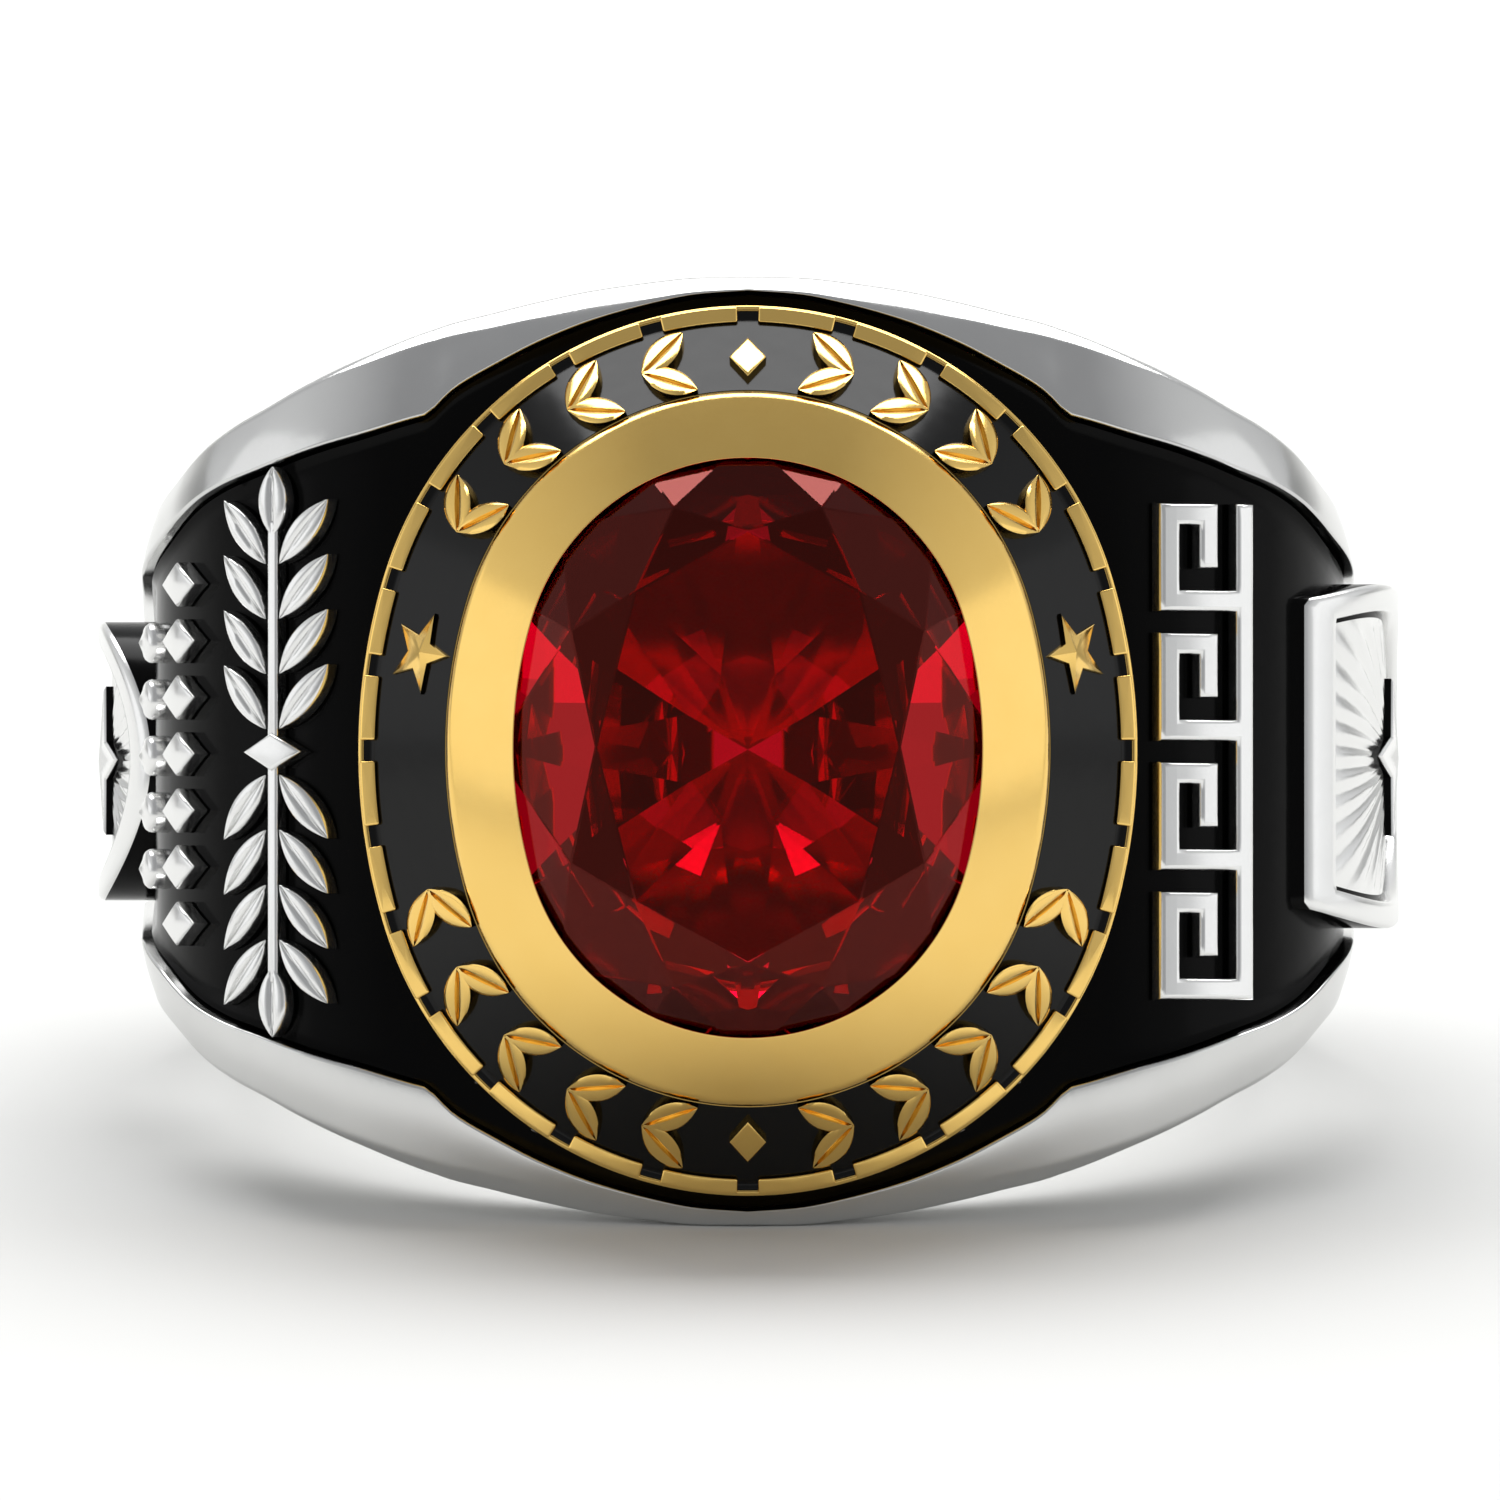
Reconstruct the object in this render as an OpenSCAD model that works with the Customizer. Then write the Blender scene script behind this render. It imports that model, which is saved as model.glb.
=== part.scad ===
// Class ring lying on its side: a silver shank, a gold crown, black enamel and an oval stone.
// Ring frame: X across the finger, Y along the finger, Z out of the finger hole towards the stone.

/* [Shank] */
// inside diameter of the finger hole
bore_d = 19.8; // [18.2:0.2:21.4]
// thickness of the band round the finger
shank_wall = 1.4; // [1.2:0.1:2]
// width of the band at the back
back_width = 6.8; // [5.8:0.2:7.6]
// metal between the finger hole and the floor under the crown
head_wall = 1.15; // [1:0.05:1.8]
// radius of the shoulders, seen along the finger
shoulder_round = 5.5; // [4.8:0.1:6.2]
// widest part of the rails, beside the shoulders
rail_width = 1.58; // [1.3:0.02:1.8]
// silver left between the groove round the crown and the head's ends
lip_width = 0.27; // [0.24:0.01:0.4]
// drop of the rails from the panel's edge to their ridge
rail_drop = 0.37; // [0.2:0.01:0.5]
// width of the narrow facet outside the ridge
edge_facet = 0.33; // [0.2:0.01:0.34]

/* [Side panels] */
// depth of the sunk panels and of the groove round the crown
panel_depth = 0.45; // [0.35:0.05:0.6]
// height of the leaves, the key pattern and the beads over the panel's floor
relief = 0.6; // [0.5:0.05:0.8]
// height of the emblems over the panel's floor
emblem_relief = 1.27; // [0.9:0.01:1.4]
// width of the shield
emblem_width = 6.4; // [5.4:0.1:6.8]
// height of the shield
emblem_height = 6.8; // [5.8:0.1:7.2]
// diameter of the round medal
medal_d = 5.2; // [4.4:0.1:5.4]
// width of an emblem's raised border
emblem_border = 0.5; // [0.4:0.05:0.7]
// depth of an emblem's field under its border
emblem_field = 0.3; // [0.2:0.05:0.35]
// radius of an emblem's face, seen along the finger
emblem_round = 4.3; // [4.2:0.1:6]
// height of the leaf pattern
sprig_height = 2.6; // [2.2:0.1:2.8]
// distance between two pairs of leaves in the leaf pattern
sprig_pitch = 1.02; // [0.9:0.02:1.1]
// width of the leaf pattern's stem
sprig_stem = 0.22; // [0.16:0.02:0.3]
// height of the key pattern
key_height = 2; // [1.6:0.1:2.2]
// number of keys
key_count = 4; // [3:1:4]
// distance between two diamonds or beads
row_pitch = 1.05; // [0.9:0.05:1.1]
// height of the diamonds
row_height = 1.2; // [1:0.05:1.3]
// thickness of the black enamel
enamel = 0.15; // [0.1:0.01:0.2]

/* [Crown] */
// width of the bezel across the finger
bezel_width = 11.16; // [10.6:0.02:11.6]
// length of the bezel along the finger
bezel_length = 13.22; // [12.8:0.02:13.8]
// width of the sloping channel with the rim, from the bezel out
channel_width = 1.64; // [1.4:0.02:1.8]
// groove between the crown's rim and the silver lip
surround = 0.29; // [0.25:0.01:0.45]
// height of the rim over the floor that the crown stands on
rim_height = 0.9; // [0.7:0.05:1.2]
// width of the rim with its blocks
rim_width = 0.32; // [0.26:0.01:0.4]
// unbroken line outside the rim's blocks
rim_line = 0.08; // [0.06:0.01:0.12]
// number of blocks round the rim
blocks = 28; // [24:1:32]
// width of the notch between two blocks
notch = 0.38; // [0.3:0.01:0.46]
// length of a leaf in the channel
leaf_length = 1.1; // [1:0.02:1.14]
// width of a leaf in the channel
leaf_width = 0.52; // [0.4:0.02:0.54]
// radius of a star in the channel
star_r = 0.8; // [0.6:0.02:0.84]
// rise of the channel from the rim to the bezel
channel_rise = 1.48; // [1.2:0.02:1.7]
// height of the leaves and stars over the channel
leaf_relief = 0.32; // [0.25:0.01:0.4]
// straight wall at the foot of the bezel
bezel_step = 0.4; // [0.3:0.02:0.5]
// width of the bezel's sloping face
bezel_face = 1.25; // [1.15:0.01:1.35]
// rise of the bezel's sloping face
bezel_rise = 0.85; // [0.75:0.01:1]

/* [Stone] */
// width of stone hidden under the bezel
stone_cover = 0.35; // [0.25:0.01:0.45]
// height of the stone over its girdle
stone_top = 1.25; // [1.1:0.05:1.4]
// depth of the stone under its girdle
stone_deep = 3.2; // [2.6:0.05:3.3]
// thickness of the girdle
girdle = 0.16; // [0.1:0.02:0.2]
// width of the table as a share of the stone's width
table_width = 0.6; // [0.54:0.01:0.66]
// length of the table as a share of the stone's length
table_length = 0.7; // [0.62:0.01:0.74]

/* [Fits] */
// gap between two pieces that sit on each other
fit = 0.02; // [0.02:0.005:0.04]
// depth of the pocket that the crown stands in
seat_depth = 0.25; // [0.15:0.05:0.3]
// clearance round the stone's point, in the metal under it
stone_gap = 0.15; // [0.1:0.05:0.2]

/* [Hidden] */
$fn = 96;

bore_r = bore_d / 2;
outer_r = bore_r + shank_wall;
deck_z = bore_r + head_wall;
head_top = deck_z + panel_depth;
corner_z = head_top - shoulder_round;
corner_x = outer_r - shoulder_round;

// the crown's ovals share four arc centres, so they run parallel; end_turn is where the arcs meet
oval_x = bezel_width / 2;
oval_y = bezel_length / 2;
end_turn = 16.26;
end_shift = (oval_y - oval_x) / (1 - tan(end_turn / 2));
side_shift = end_shift / tan(end_turn);
end_round = oval_y - end_shift;
side_round = end_round + end_shift / sin(end_turn);
// number of sections round the ovals, with one in the middle of each notch
turns = 3 * blocks;

head_half = oval_y + channel_width + surround + lip_width;
back_half = back_width / 2;

// heights of the crown
seat_z = deck_z - seat_depth;
rim_z = deck_z + rim_height;
block_height = 0.3;
floor_z = rim_z - block_height;
// the channel's slope ends this far outside the bezel's wall
channel_in = 0.03;
channel_foot = channel_width - rim_width;
channel_slope = channel_rise / (channel_foot - channel_in);
step_z = floor_z + channel_rise;
face_z = step_z + bezel_step;
lip_z = face_z + bezel_rise;

// broken edges of the crown, and the seat that it gives the stone
rim_bevel = 0.03;
face_bevel = [0.12, 0.16];
lip_bevel = 0.06;
lip_drop = 0.42;
seat_lap = 0.34;
cup_in = [0.4, 1.6];
cup_drop = 0.55;

// heights of the stone
girdle_edge = bezel_face - stone_cover;
girdle_top = lip_z - lip_drop;
girdle_low = girdle_top - girdle;
table_z = girdle_top + stone_top;
culet_z = girdle_low - stone_deep;
// how far the facets between two main ones reach from the girdle to the table, and to the point
upper_reach = 0.75;
lower_reach = 0.76;
// how far the diagonal facets lean to the sides
facet_lean = 5;
well_r = 1.2 * (1 - lower_reach) * (oval_y - girdle_edge) + stone_gap;

// the panels' floor on the shoulders, and where the emblems lie
panel_r = shoulder_round - panel_depth;
emblem_lower = 0.4;
medal_lower = 0.6;
emblem_z = corner_z - emblem_lower;
medal_z = corner_z / 2 - medal_lower;
// how deep the emblems and the reliefs start under the panels' floor
shield_sink = 1.05;
medal_sink = 0.5;
relief_sink = 0.35;
sprig_pairs = 4;
// turn of each pattern's middle on the shoulder; the upper ones end just under the crown
panel_top = acos((oval_x + channel_width + surround / 2 - corner_x) / panel_r);
sprig_turn = panel_top - sprig_height / panel_r * 90 / PI;
key_turn = panel_top - key_height / panel_r * 90 / PI;
diamond_turn = 30;
bead_turn = 12;
// lean of the panels' walls
wall_lean = 0.08;
// how far a cut runs past what it cuts, and how far the body reaches into the finger hole before that is cut
past = 1;
bore_cut = 0.8;
// half the flat that is left where the band has no panel
flat_half = 0.1;

// the channel's pattern: pairs of leaves from the middle of each end, and the stars' place
leaf_turn = 14.5;
leaf_pairs_up = 4;
leaf_pairs_down = 5;
star_turn = 80;

// place along half the ring's outline: 0 back, 1 level with the finger hole's middle,
// 2 foot of the shoulder, 3 end of the shoulder, 4 middle of the head
T_END = 0.66;
T_CORNER = 2.977;

// width of the body as a share of the way from the back's to the head's half width
// [place, share]
WIDTH = [
    [0, 0], [0.5, 0.01], [1, 0.06], [1.5, 0.107], [2, 0.167], [2.12, 0.244],
    [2.245, 0.32], [2.38, 0.431], [2.48, 0.5], [2.576, 0.559], [2.673, 0.628], [2.8, 0.711],
    [3, 0.824], [3.19, 0.88], [3.35, 0.922], [3.51, 0.957], [3.76, 0.993], [3.85, 1], [4, 1],
];

// width of the rail as a share of the way from lip_width to rail_width
// [place, share], first beside the panels, then round the crown
RAIL_SIDE = [
    [0.66, 1.2], [0.72, 0.98], [0.8, 0.8], [1, 0.65], [1.5, 0.58], [2, 0.52], [2.12, 0.62],
    [2.32, 0.62], [2.5, 0.67], [2.69, 0.81], [2.85, 0.94], [2.977, 1],
];
RAIL_HEAD = [
    [2.977, 1], [3.07, 0.74], [3.26, 0.47], [3.38, 0.34], [3.586, 0.18], [3.79, 0.07], [4, 0],
];

// the rail's section: [place, share of edge_facet, share of rail_drop, inner width as a share of the outer]
SECTION = [
    [0, 0.3, 0.8, 0.97], [1, 0.3, 0.8, 0.97], [2, 0.3, 0.7, 0.95], [2.5, 0.35, 0.8, 0.9],
    [2.8, 0.5, 0.9, 0.88], [3, 0.75, 1, 0.87], [3.26, 0.95, 0.6, 0.87], [3.4, 1, 0.5, 0.87],
    [3.8, 0.8, 0.2, 0.87], [4, 0.67, 0.12, 0.87],
];

// interpolation of a table's column through its rows
function row_of(tb, t, i = 0) = (i >= len(tb) - 2 || t < tb[i + 1][0]) ? i : row_of(tb, t, i + 1);
function lean(tb, c, i) =
    let(a = max(i - 1, 0), b = min(i + 1, len(tb) - 1))
    (tb[b][c] - tb[a][c]) / (tb[b][0] - tb[a][0]);
function at(tb, c, t) =
    let(
        i = row_of(tb, t),
        h = tb[i + 1][0] - tb[i][0],
        s = (t - tb[i][0]) / h,
        p = tb[i][c],
        q = tb[i + 1][c]
    )
    p * (1 + 2 * s) * pow(1 - s, 2) + lean(tb, c, i) * h * s * pow(1 - s, 2)
    + q * s * s * (3 - 2 * s) + lean(tb, c, i + 1) * h * s * s * (s - 1);

// a point of the outline and the direction out of it
function out_dir(t) =
    t < 1 ? [cos(90 * t - 90), sin(90 * t - 90)]
    : t < 2 ? [1, 0]
    : t < 3 ? [cos(90 * (t - 2)), sin(90 * (t - 2))]
    : [0, 1];
function out_point(t) =
    t < 1 ? outer_r * out_dir(t)
    : t < 2 ? [outer_r, corner_z * (t - 1)]
    : t < 3 ? [corner_x, corner_z] + shoulder_round * out_dir(t)
    : [corner_x * (4 - t), head_top];

function half_width(t) = back_half + at(WIDTH, 1, t) * (head_half - back_half);
function rail_share(t) = t < T_CORNER ? at(RAIL_SIDE, 1, t) : at(RAIL_HEAD, 1, t);
function rail(t) = lip_width + (rail_width - lip_width) * rail_share(t);
function panel_half(t) = t < T_END ? flat_half : half_width(t) - rail(t);
function sunk(t) = t < T_END ? 0 : panel_depth;

// half a section: [distance along the finger, distance out of the outline], from the panel's floor outwards
function half_section(t) =
    let(
        w = half_width(t),
        e = panel_half(t),
        f = edge_facet * at(SECTION, 1, t),
        d = rail_drop * at(SECTION, 2, t)
    )
    [
        [e - wall_lean, -sunk(t)],
        [e, 0],
        [(e + w - f) / 2, -0.35 * d],
        [w - f, -d],
        [w, -d - 1.2 * f],
    ];
function inner_half(t) = half_width(t) * at(SECTION, 3, t);

function place(t, side, v, d) =
    let(p = out_point(t) + d * out_dir(t))
    [side * p[0], v, p[1]];
function inner_point(t, side, v) =
    let(p = out_point(t), r = (bore_r - bore_cut) / norm(p))
    [side * p[0] * r, v, p[1] * r];

// the places at which the body has a section
HALF = concat(
    [for (k = [0:17]) (2.5 + 5 * k) / 90],
    [for (k = [0:3]) 1 + k / 4],
    [for (k = [0:17]) 2 + k / 18],
    [T_CORNER],
    [for (k = [0:7]) 3 + k / 8]
);
STATIONS = concat(
    [for (t = HALF) [t, 1]],
    [[4, 1]],
    [for (k = [len(HALF) - 1:-1:0]) [HALF[k], -1]]
);

// closed skin through rings of points, with a middle point at each end when asked
function loop_faces(n, m, closed) = [
    for (j = [0:(closed ? n - 1 : n - 2)])
        for (i = [0:m - 2])
            let(a = j * m + i, b = ((j + 1) % n) * m + i)
            each [[a, b + 1, a + 1], [a, b, b + 1]]
];

module body() {
    rings = [
        for (s = STATIONS)
            let(t = s[0], h = half_section(t), w = inner_half(t))
            concat(
                [inner_point(t, s[1], -w)],
                [for (i = [4:-1:0]) place(t, s[1], -h[i][0], h[i][1])],
                [for (i = [0:4]) place(t, s[1], h[i][0], h[i][1])],
                [inner_point(t, s[1], w)]
            )
    ];
    n = len(rings);
    m = len(rings[0]);
    points = concat([for (r = rings) each r], [[0, -back_half, 0], [0, back_half, 0]]);
    caps = [
        for (j = [0:n - 1])
            let(k = (j + 1) % n)
            each [[n * m, k * m, j * m], [n * m + 1, j * m + m - 1, k * m + m - 1]]
    ];
    polyhedron(points = points, faces = concat(loop_faces(n, m, true), caps), convexity = 8);
}

module bore() {
    rotate([90, 0, 0])
        cylinder(r = bore_r, h = 4 * head_half, center = true);
}

// a point of the oval that runs the given distance outside the bezel's edge, by the direction square to it
function oval_point(grow, a) =
    let(c = abs(cos(a)), side = c > cos(end_turn), r = (side ? side_round : end_round) + grow)
    [r * cos(a) - (side ? side_shift * sign(cos(a)) : 0), r * sin(a) + (side ? 0 : end_shift * sign(sin(a)))];

// that direction for the place on the rim's middle line at the given angle round the stone
function rim_turn(q) =
    let(
        e = channel_width - rim_width / 2,
        u = abs(cos(q)),
        v = abs(sin(q)),
        f = end_shift * v + sqrt(pow(end_round + e, 2) - pow(end_shift * u, 2)),
        g = sqrt(pow(side_round + e, 2) - pow(side_shift * v, 2)) - side_shift * u,
        n = atan2(f * v - end_shift, f * u),
        a = n > end_turn ? n : atan2(g * v, g * u + side_shift)
    )
    atan2(sign(sin(q)) * sin(a), sign(cos(q)) * cos(a));

function oval_line(grow) = [for (k = [0:turns - 1]) oval_point(grow, rim_turn(360 * k / turns))];

module oval_block(grow, z0, z1) {
    translate([0, 0, z0])
        linear_extrude(height = z1 - z0)
            polygon(oval_line(grow));
}

// what lies between two ovals
module oval_band(inner, outer, z0, z1) {
    translate([0, 0, z0])
        linear_extrude(height = z1 - z0)
            difference() {
                polygon(oval_line(outer));
                polygon(oval_line(inner));
            }
}

// a closed section run round the oval; its points are given out from the bezel's edge and up
module oval_sweep(profile) {
    m = len(profile);
    lines = [for (p = profile) oval_line(p[0])];
    points = [for (k = [0:turns - 1]) for (i = [0:m - 1]) [lines[i][k][0], lines[i][k][1], profile[i][1]]];
    faces = [
        for (k = [0:turns - 1])
            for (i = [0:m - 1])
                let(
                    a = k * m + i,
                    b = k * m + (i + 1) % m,
                    c = ((k + 1) % turns) * m + (i + 1) % m,
                    d = ((k + 1) % turns) * m + i
                )
                each [[a, b, c], [a, c, d]]
    ];
    polyhedron(points = points, faces = faces, convexity = 6);
}

// a flat leaf with two round edges
module leaf(length, width, grow = 0) {
    l = length + 2 * grow;
    w = width + 2 * grow;
    r = (l * l + w * w) / (4 * w);
    intersection() {
        translate([0, r - w / 2])
            circle(r = r);
        translate([0, w / 2 - r])
            circle(r = r);
    }
}

// a star, drawn lower by a share where it lies on a slope
module star(r, grow = 0, share = 1) {
    polygon([
        for (k = [0:9])
            let(d = k % 2 == 0 ? r + 1.6 * grow : 0.42 * r + grow)
            [d * sin(36 * k), share * d * cos(36 * k)]
    ]);
}

module diamond(w, h, grow = 0) {
    x = w / 2 + 1.4 * grow;
    y = h / 2 + 1.4 * grow;
    polygon([[x, 0], [0, y], [-x, 0], [0, -y]]);
}

// a bar from one grid cell to another, both counted from the lower left one
module bar(cell, x0, y0, x1, y1, grow = 0) {
    translate([cell * x0 - grow, cell * y0 - grow])
        square([cell * (x1 - x0 + 1) + 2 * grow, cell * (y1 - y0 + 1) + 2 * grow]);
}

// two sprigs of leaves that meet in the middle, along the finger
module sprigs(grow = 0) {
    span = 2 * sprig_pairs * sprig_pitch;
    square([span + 2 * grow, sprig_stem + 2 * grow], center = true);
    diamond(sprig_pitch * 0.7, sprig_height * 0.5, grow);
    for (s = [1, -1]) {
        for (k = [1:sprig_pairs], q = [1, -1])
            translate([s * k * sprig_pitch, q * sprig_height * 0.25])
                rotate([0, 0, s * q * 40])
                    leaf(sprig_height * 0.6, sprig_height * 0.2, grow);
        translate([s * (sprig_pairs + 0.55) * sprig_pitch, 0])
            leaf(sprig_height * 0.5, sprig_height * 0.24, grow);
    }
}

// a key pattern on a base line
module keys(grow = 0) {
    cell = key_height / 5;
    translate([-cell * (6 * key_count - 1) / 2, -key_height / 2]) {
        bar(cell, 0, 0, 6 * key_count - 2, 0, grow);
        for (k = [0:key_count - 1]) {
            c = 6 * k;
            bar(cell, c, 0, c, 4, grow);
            bar(cell, c, 4, c + 4, 4, grow);
            bar(cell, c + 4, 2, c + 4, 4, grow);
            bar(cell, c + 2, 2, c + 4, 2, grow);
        }
    }
}

// a row of diamonds, and a row of beads with a bar between two
module diamonds(grow = 0) {
    for (k = [-3:3])
        translate([k * row_pitch, 0])
            diamond(row_pitch * 0.78, row_height, grow);
}

module beads(grow = 0) {
    for (k = [-2:2])
        translate([k * row_pitch, 0])
            circle(r = row_pitch * 0.36 + grow);
}

// a shield with its point away from the stone, drawn inside its border by the given amount
module shield(inset = 0) {
    w = emblem_width / 2 - inset;
    h = emblem_height;
    intersection() {
        translate([-w, -h / 2 + inset])
            square([2 * w, h - 2 * inset]);
        translate([w - h * 1.05, h * 0.18])
            circle(r = h * 1.05);
        translate([h * 1.05 - w, h * 0.18])
            circle(r = h * 1.05);
    }
}

// what faces out of a shoulder at the given turn from level, extruded out to the given height over its floor
module shoulder_relief(side, turn, height) {
    mirror([side < 0 ? 1 : 0, 0, 0])
        translate([corner_x, 0, corner_z])
            rotate([0, -turn, 0])
                intersection() {
                    translate([panel_r - relief_sink, 0, 0])
                        rotate([90, 0, 90])
                            linear_extrude(height = relief_sink + height + past)
                                children();
                    rotate([90, 0, 0])
                        cylinder(r = panel_r + height, h = 4 * head_half, center = true);
                }
}

// a block that runs out of a flank, from under the panel's floor to past the emblem's face
module emblem_block(side) {
    sink = side > 0 ? shield_sink : medal_sink;
    mirror([side < 0 ? 1 : 0, 0, 0])
        translate([outer_r - panel_depth - sink, 0, side > 0 ? emblem_z : medal_z])
            rotate([90, 0, 90])
                linear_extrude(height = sink + emblem_relief + past)
                    children();
}

// an emblem's own face is one round; the shield's lower half is level with the flank
module emblem_face(side, drop) {
    x = outer_r - panel_depth + emblem_relief - drop - emblem_round;
    intersection() {
        emblem_block(side)
            children();
        translate([side * x, 0, side > 0 ? emblem_z : medal_z]) {
            rotate([90, 0, 0])
                cylinder(r = emblem_round, h = 4 * head_half, center = true);
            if (side > 0)
                translate([0, -2 * head_half, -emblem_height])
                    cube([emblem_round, 4 * head_half, emblem_height]);
        }
    }
}

// the reliefs of the left and the right shoulder, and with a height over them the room that they take
module reliefs(grow = 0, over = 0) {
    shoulder_relief(-1, sprig_turn, relief + over)
        sprigs(grow);
    shoulder_relief(-1, diamond_turn, relief + over)
        diamonds(grow);
    shoulder_relief(-1, bead_turn, relief + over)
        beads(grow);
    shoulder_relief(1, key_turn, relief + over)
        keys(grow);
}

module emblems() {
    for (side = [1, -1]) {
        emblem_face(side, emblem_field)
            emblem_outline(side);
        emblem_face(side, 0)
            difference() {
                emblem_outline(side);
                emblem_outline(side, emblem_border);
            }
        emblem_face(side, 0)
            star(side > 0 ? emblem_width * 0.24 : medal_d * 0.28);
    }
}

module emblem_outline(side, inset = 0) {
    if (side > 0)
        shield(inset);
    else
        circle(r = medal_d / 2 - inset);
}

module shank() {
    color("silver") {
        difference() {
            difference() {
                body();
                bore();
            }
            union() {
                oval_block(channel_width + fit, seat_z, head_top + past);
                translate([0, 0, culet_z - stone_gap])
                    cylinder(r = well_r, h = stone_deep);
            }
        }
        reliefs();
        difference() {
            emblems();
            bore();
        }
    }
}

module crown() {
    color("gold") {
        difference() {
            oval_sweep(crown_profile());
            notches();
        }
        intersection() {
            channel_motifs(0);
            oval_sweep(channel_skin(-enamel, leaf_relief));
        }
    }
}

function crown_profile() = [
    [channel_width, seat_z + fit],
    [channel_width, rim_z - rim_bevel],
    [channel_width - rim_bevel, rim_z],
    [channel_foot, rim_z],
    [channel_foot, floor_z],
    [channel_in, step_z],
    [0, step_z],
    [0, face_z],
    [-face_bevel[0], face_z + face_bevel[1]],
    [-bezel_face + lip_bevel, lip_z],
    [-bezel_face, lip_z - lip_bevel],
    [-bezel_face, girdle_top + seat_lap],
    [-girdle_edge + fit, girdle_top + fit],
    [-girdle_edge + fit, girdle_low - fit],
    [-bezel_face - cup_in[0], girdle_low - cup_drop],
    [-bezel_face - cup_in[1], seat_z + fit],
];

// the channel's slope: height at a distance from the bezel, and distance at a height, that far over the slope
function skin_z(e, over) = floor_z + (channel_foot - e) * channel_slope + over * norm([1, channel_slope]);
function skin_e(z, over) = channel_foot - (z - floor_z - over * norm([1, channel_slope])) / channel_slope;

// a layer that follows the channel's slope between two heights over it
function channel_skin(low, high) =
    let(
        n = [channel_slope, 1] / norm([1, channel_slope]),
        a = [channel_foot, floor_z],
        b = [channel_in, step_z]
    )
    [a + low * n, a + high * n, b + high * n, b + low * n];

// the gaps between the rim's blocks
module notch_bars(grow) {
    for (k = [0:blocks - 1])
        let(a = rim_turn(360 * k / blocks))
            translate(oval_point(channel_foot, a))
                rotate([0, 0, a])
                    translate([-rim_width / 2, -notch / 2 + grow, floor_z - past])
                        cube([2 * rim_width, notch - 2 * grow, 3 * past]);
}

module notches() {
    intersection() {
        oval_band(channel_foot, channel_width - rim_line, floor_z, rim_z + past);
        notch_bars(0);
    }
}

// leaves in pairs and two stars, spread over the channel by their angle round the stone
module channel_motifs(grow) {
    mid = channel_foot / 2;
    translate([0, 0, floor_z])
        linear_extrude(height = 2 * channel_rise) {
            for (s = [1, -1]) {
                for (k = [1:leaf_pairs_up])
                    channel_pair(90 - s * k * leaf_turn, s, mid, grow);
                for (k = [1:leaf_pairs_down])
                    channel_pair(270 + s * k * leaf_turn, -s, mid, grow);
                translate(oval_point(mid, 90 - s * star_turn))
                    rotate([0, 0, 180 - s * star_turn])
                        star(star_r, grow, 1 / norm([1, channel_slope]));
            }
            for (a = [90, 270])
                translate(oval_point(mid, a))
                    rotate([0, 0, a])
                        diamond(channel_foot * 0.56, channel_foot * 0.52, grow);
        }
}

module channel_pair(a, s, mid, grow) {
    translate(oval_point(mid, a))
        rotate([0, 0, a + 90])
            for (q = [1, -1])
                translate([0, q * leaf_length / 4])
                    rotate([0, 0, s * q * 32])
                        leaf(leaf_length, leaf_width, grow);
}

module enamel_fill() {
    color("black")
        difference() {
            enamel_ribbon();
            oval_block(channel_width + fit, seat_z, head_top + past);
            reliefs(fit, past);
            for (side = [1, -1])
                emblem_block(side)
                    emblem_outline(side, -fit);
        }
}

// the floor of both panels and of the groove round the crown, from one panel's end to the other's
RIBBON = [for (s = STATIONS) if (s[0] > T_END + 0.05) s];
module enamel_ribbon() {
    rings = [
        for (s = RIBBON)
            let(
                w = panel_half(s[0]) - wall_lean - fit,
                low = fit - panel_depth,
                top = low + enamel
            )
            [
                place(s[0], s[1], -w, low),
                place(s[0], s[1], w, low),
                place(s[0], s[1], w, top),
                place(s[0], s[1], -w, top),
            ]
    ];
    n = len(rings);
    faces = concat(
        [[3, 2, 1], [3, 1, 0]],
        [[4 * n - 4, 4 * n - 3, 4 * n - 2], [4 * n - 4, 4 * n - 2, 4 * n - 1]],
        [
            for (j = [0:n - 2])
                for (i = [0:3])
                    let(a = 4 * j + i, b = 4 * j + (i + 1) % 4)
                    each [[a, b, b + 4], [a, b + 4, a + 4]]
        ]
    );
    polyhedron(points = [for (r = rings) each r], faces = faces, convexity = 6);
}

// one layer on the notches' floor and up the channel's slope, with room for the blocks and the motifs
module channel_enamel() {
    outer = channel_width - rim_line - fit;
    wall = channel_foot - fit;
    color("black")
        difference() {
            oval_sweep([
                [outer, floor_z + fit],
                [outer, floor_z + enamel],
                [skin_e(floor_z + enamel, enamel), floor_z + enamel],
                [fit, skin_z(fit, enamel)],
                [fit, step_z + fit],
                [skin_e(step_z + fit, fit), step_z + fit],
                [skin_e(floor_z + fit, fit), floor_z + fit],
            ]);
            difference() {
                oval_band(wall, channel_width + past, floor_z - past, rim_z + past);
                notch_bars(fit);
            }
            channel_motifs(fit);
        }
}

// direction out of a main facet, and of the girdle's points between
function facet_turn(k) = 45 * k - facet_lean * sin(90 * k);

// a ring of the stone, drawn inside its girdle by shares of its width and length
function stone_ring(shares, z, n) = [
    for (k = [0:n - 1])
        let(p = oval_point(-girdle_edge, facet_turn(8 * k / n)))
        [shares[0] * p[0], shares[1] * p[1], z]
];

// how far out a main facet is, at a share of its way from the girdle to the ring with the given shares
function main_reach(k, shares, s) =
    let(a = facet_turn(k), p = oval_point(-girdle_edge, a))
    (1 - s + s * shares[0]) * p[0] * cos(a) + (1 - s + s * shares[1]) * p[1] * sin(a);

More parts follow.
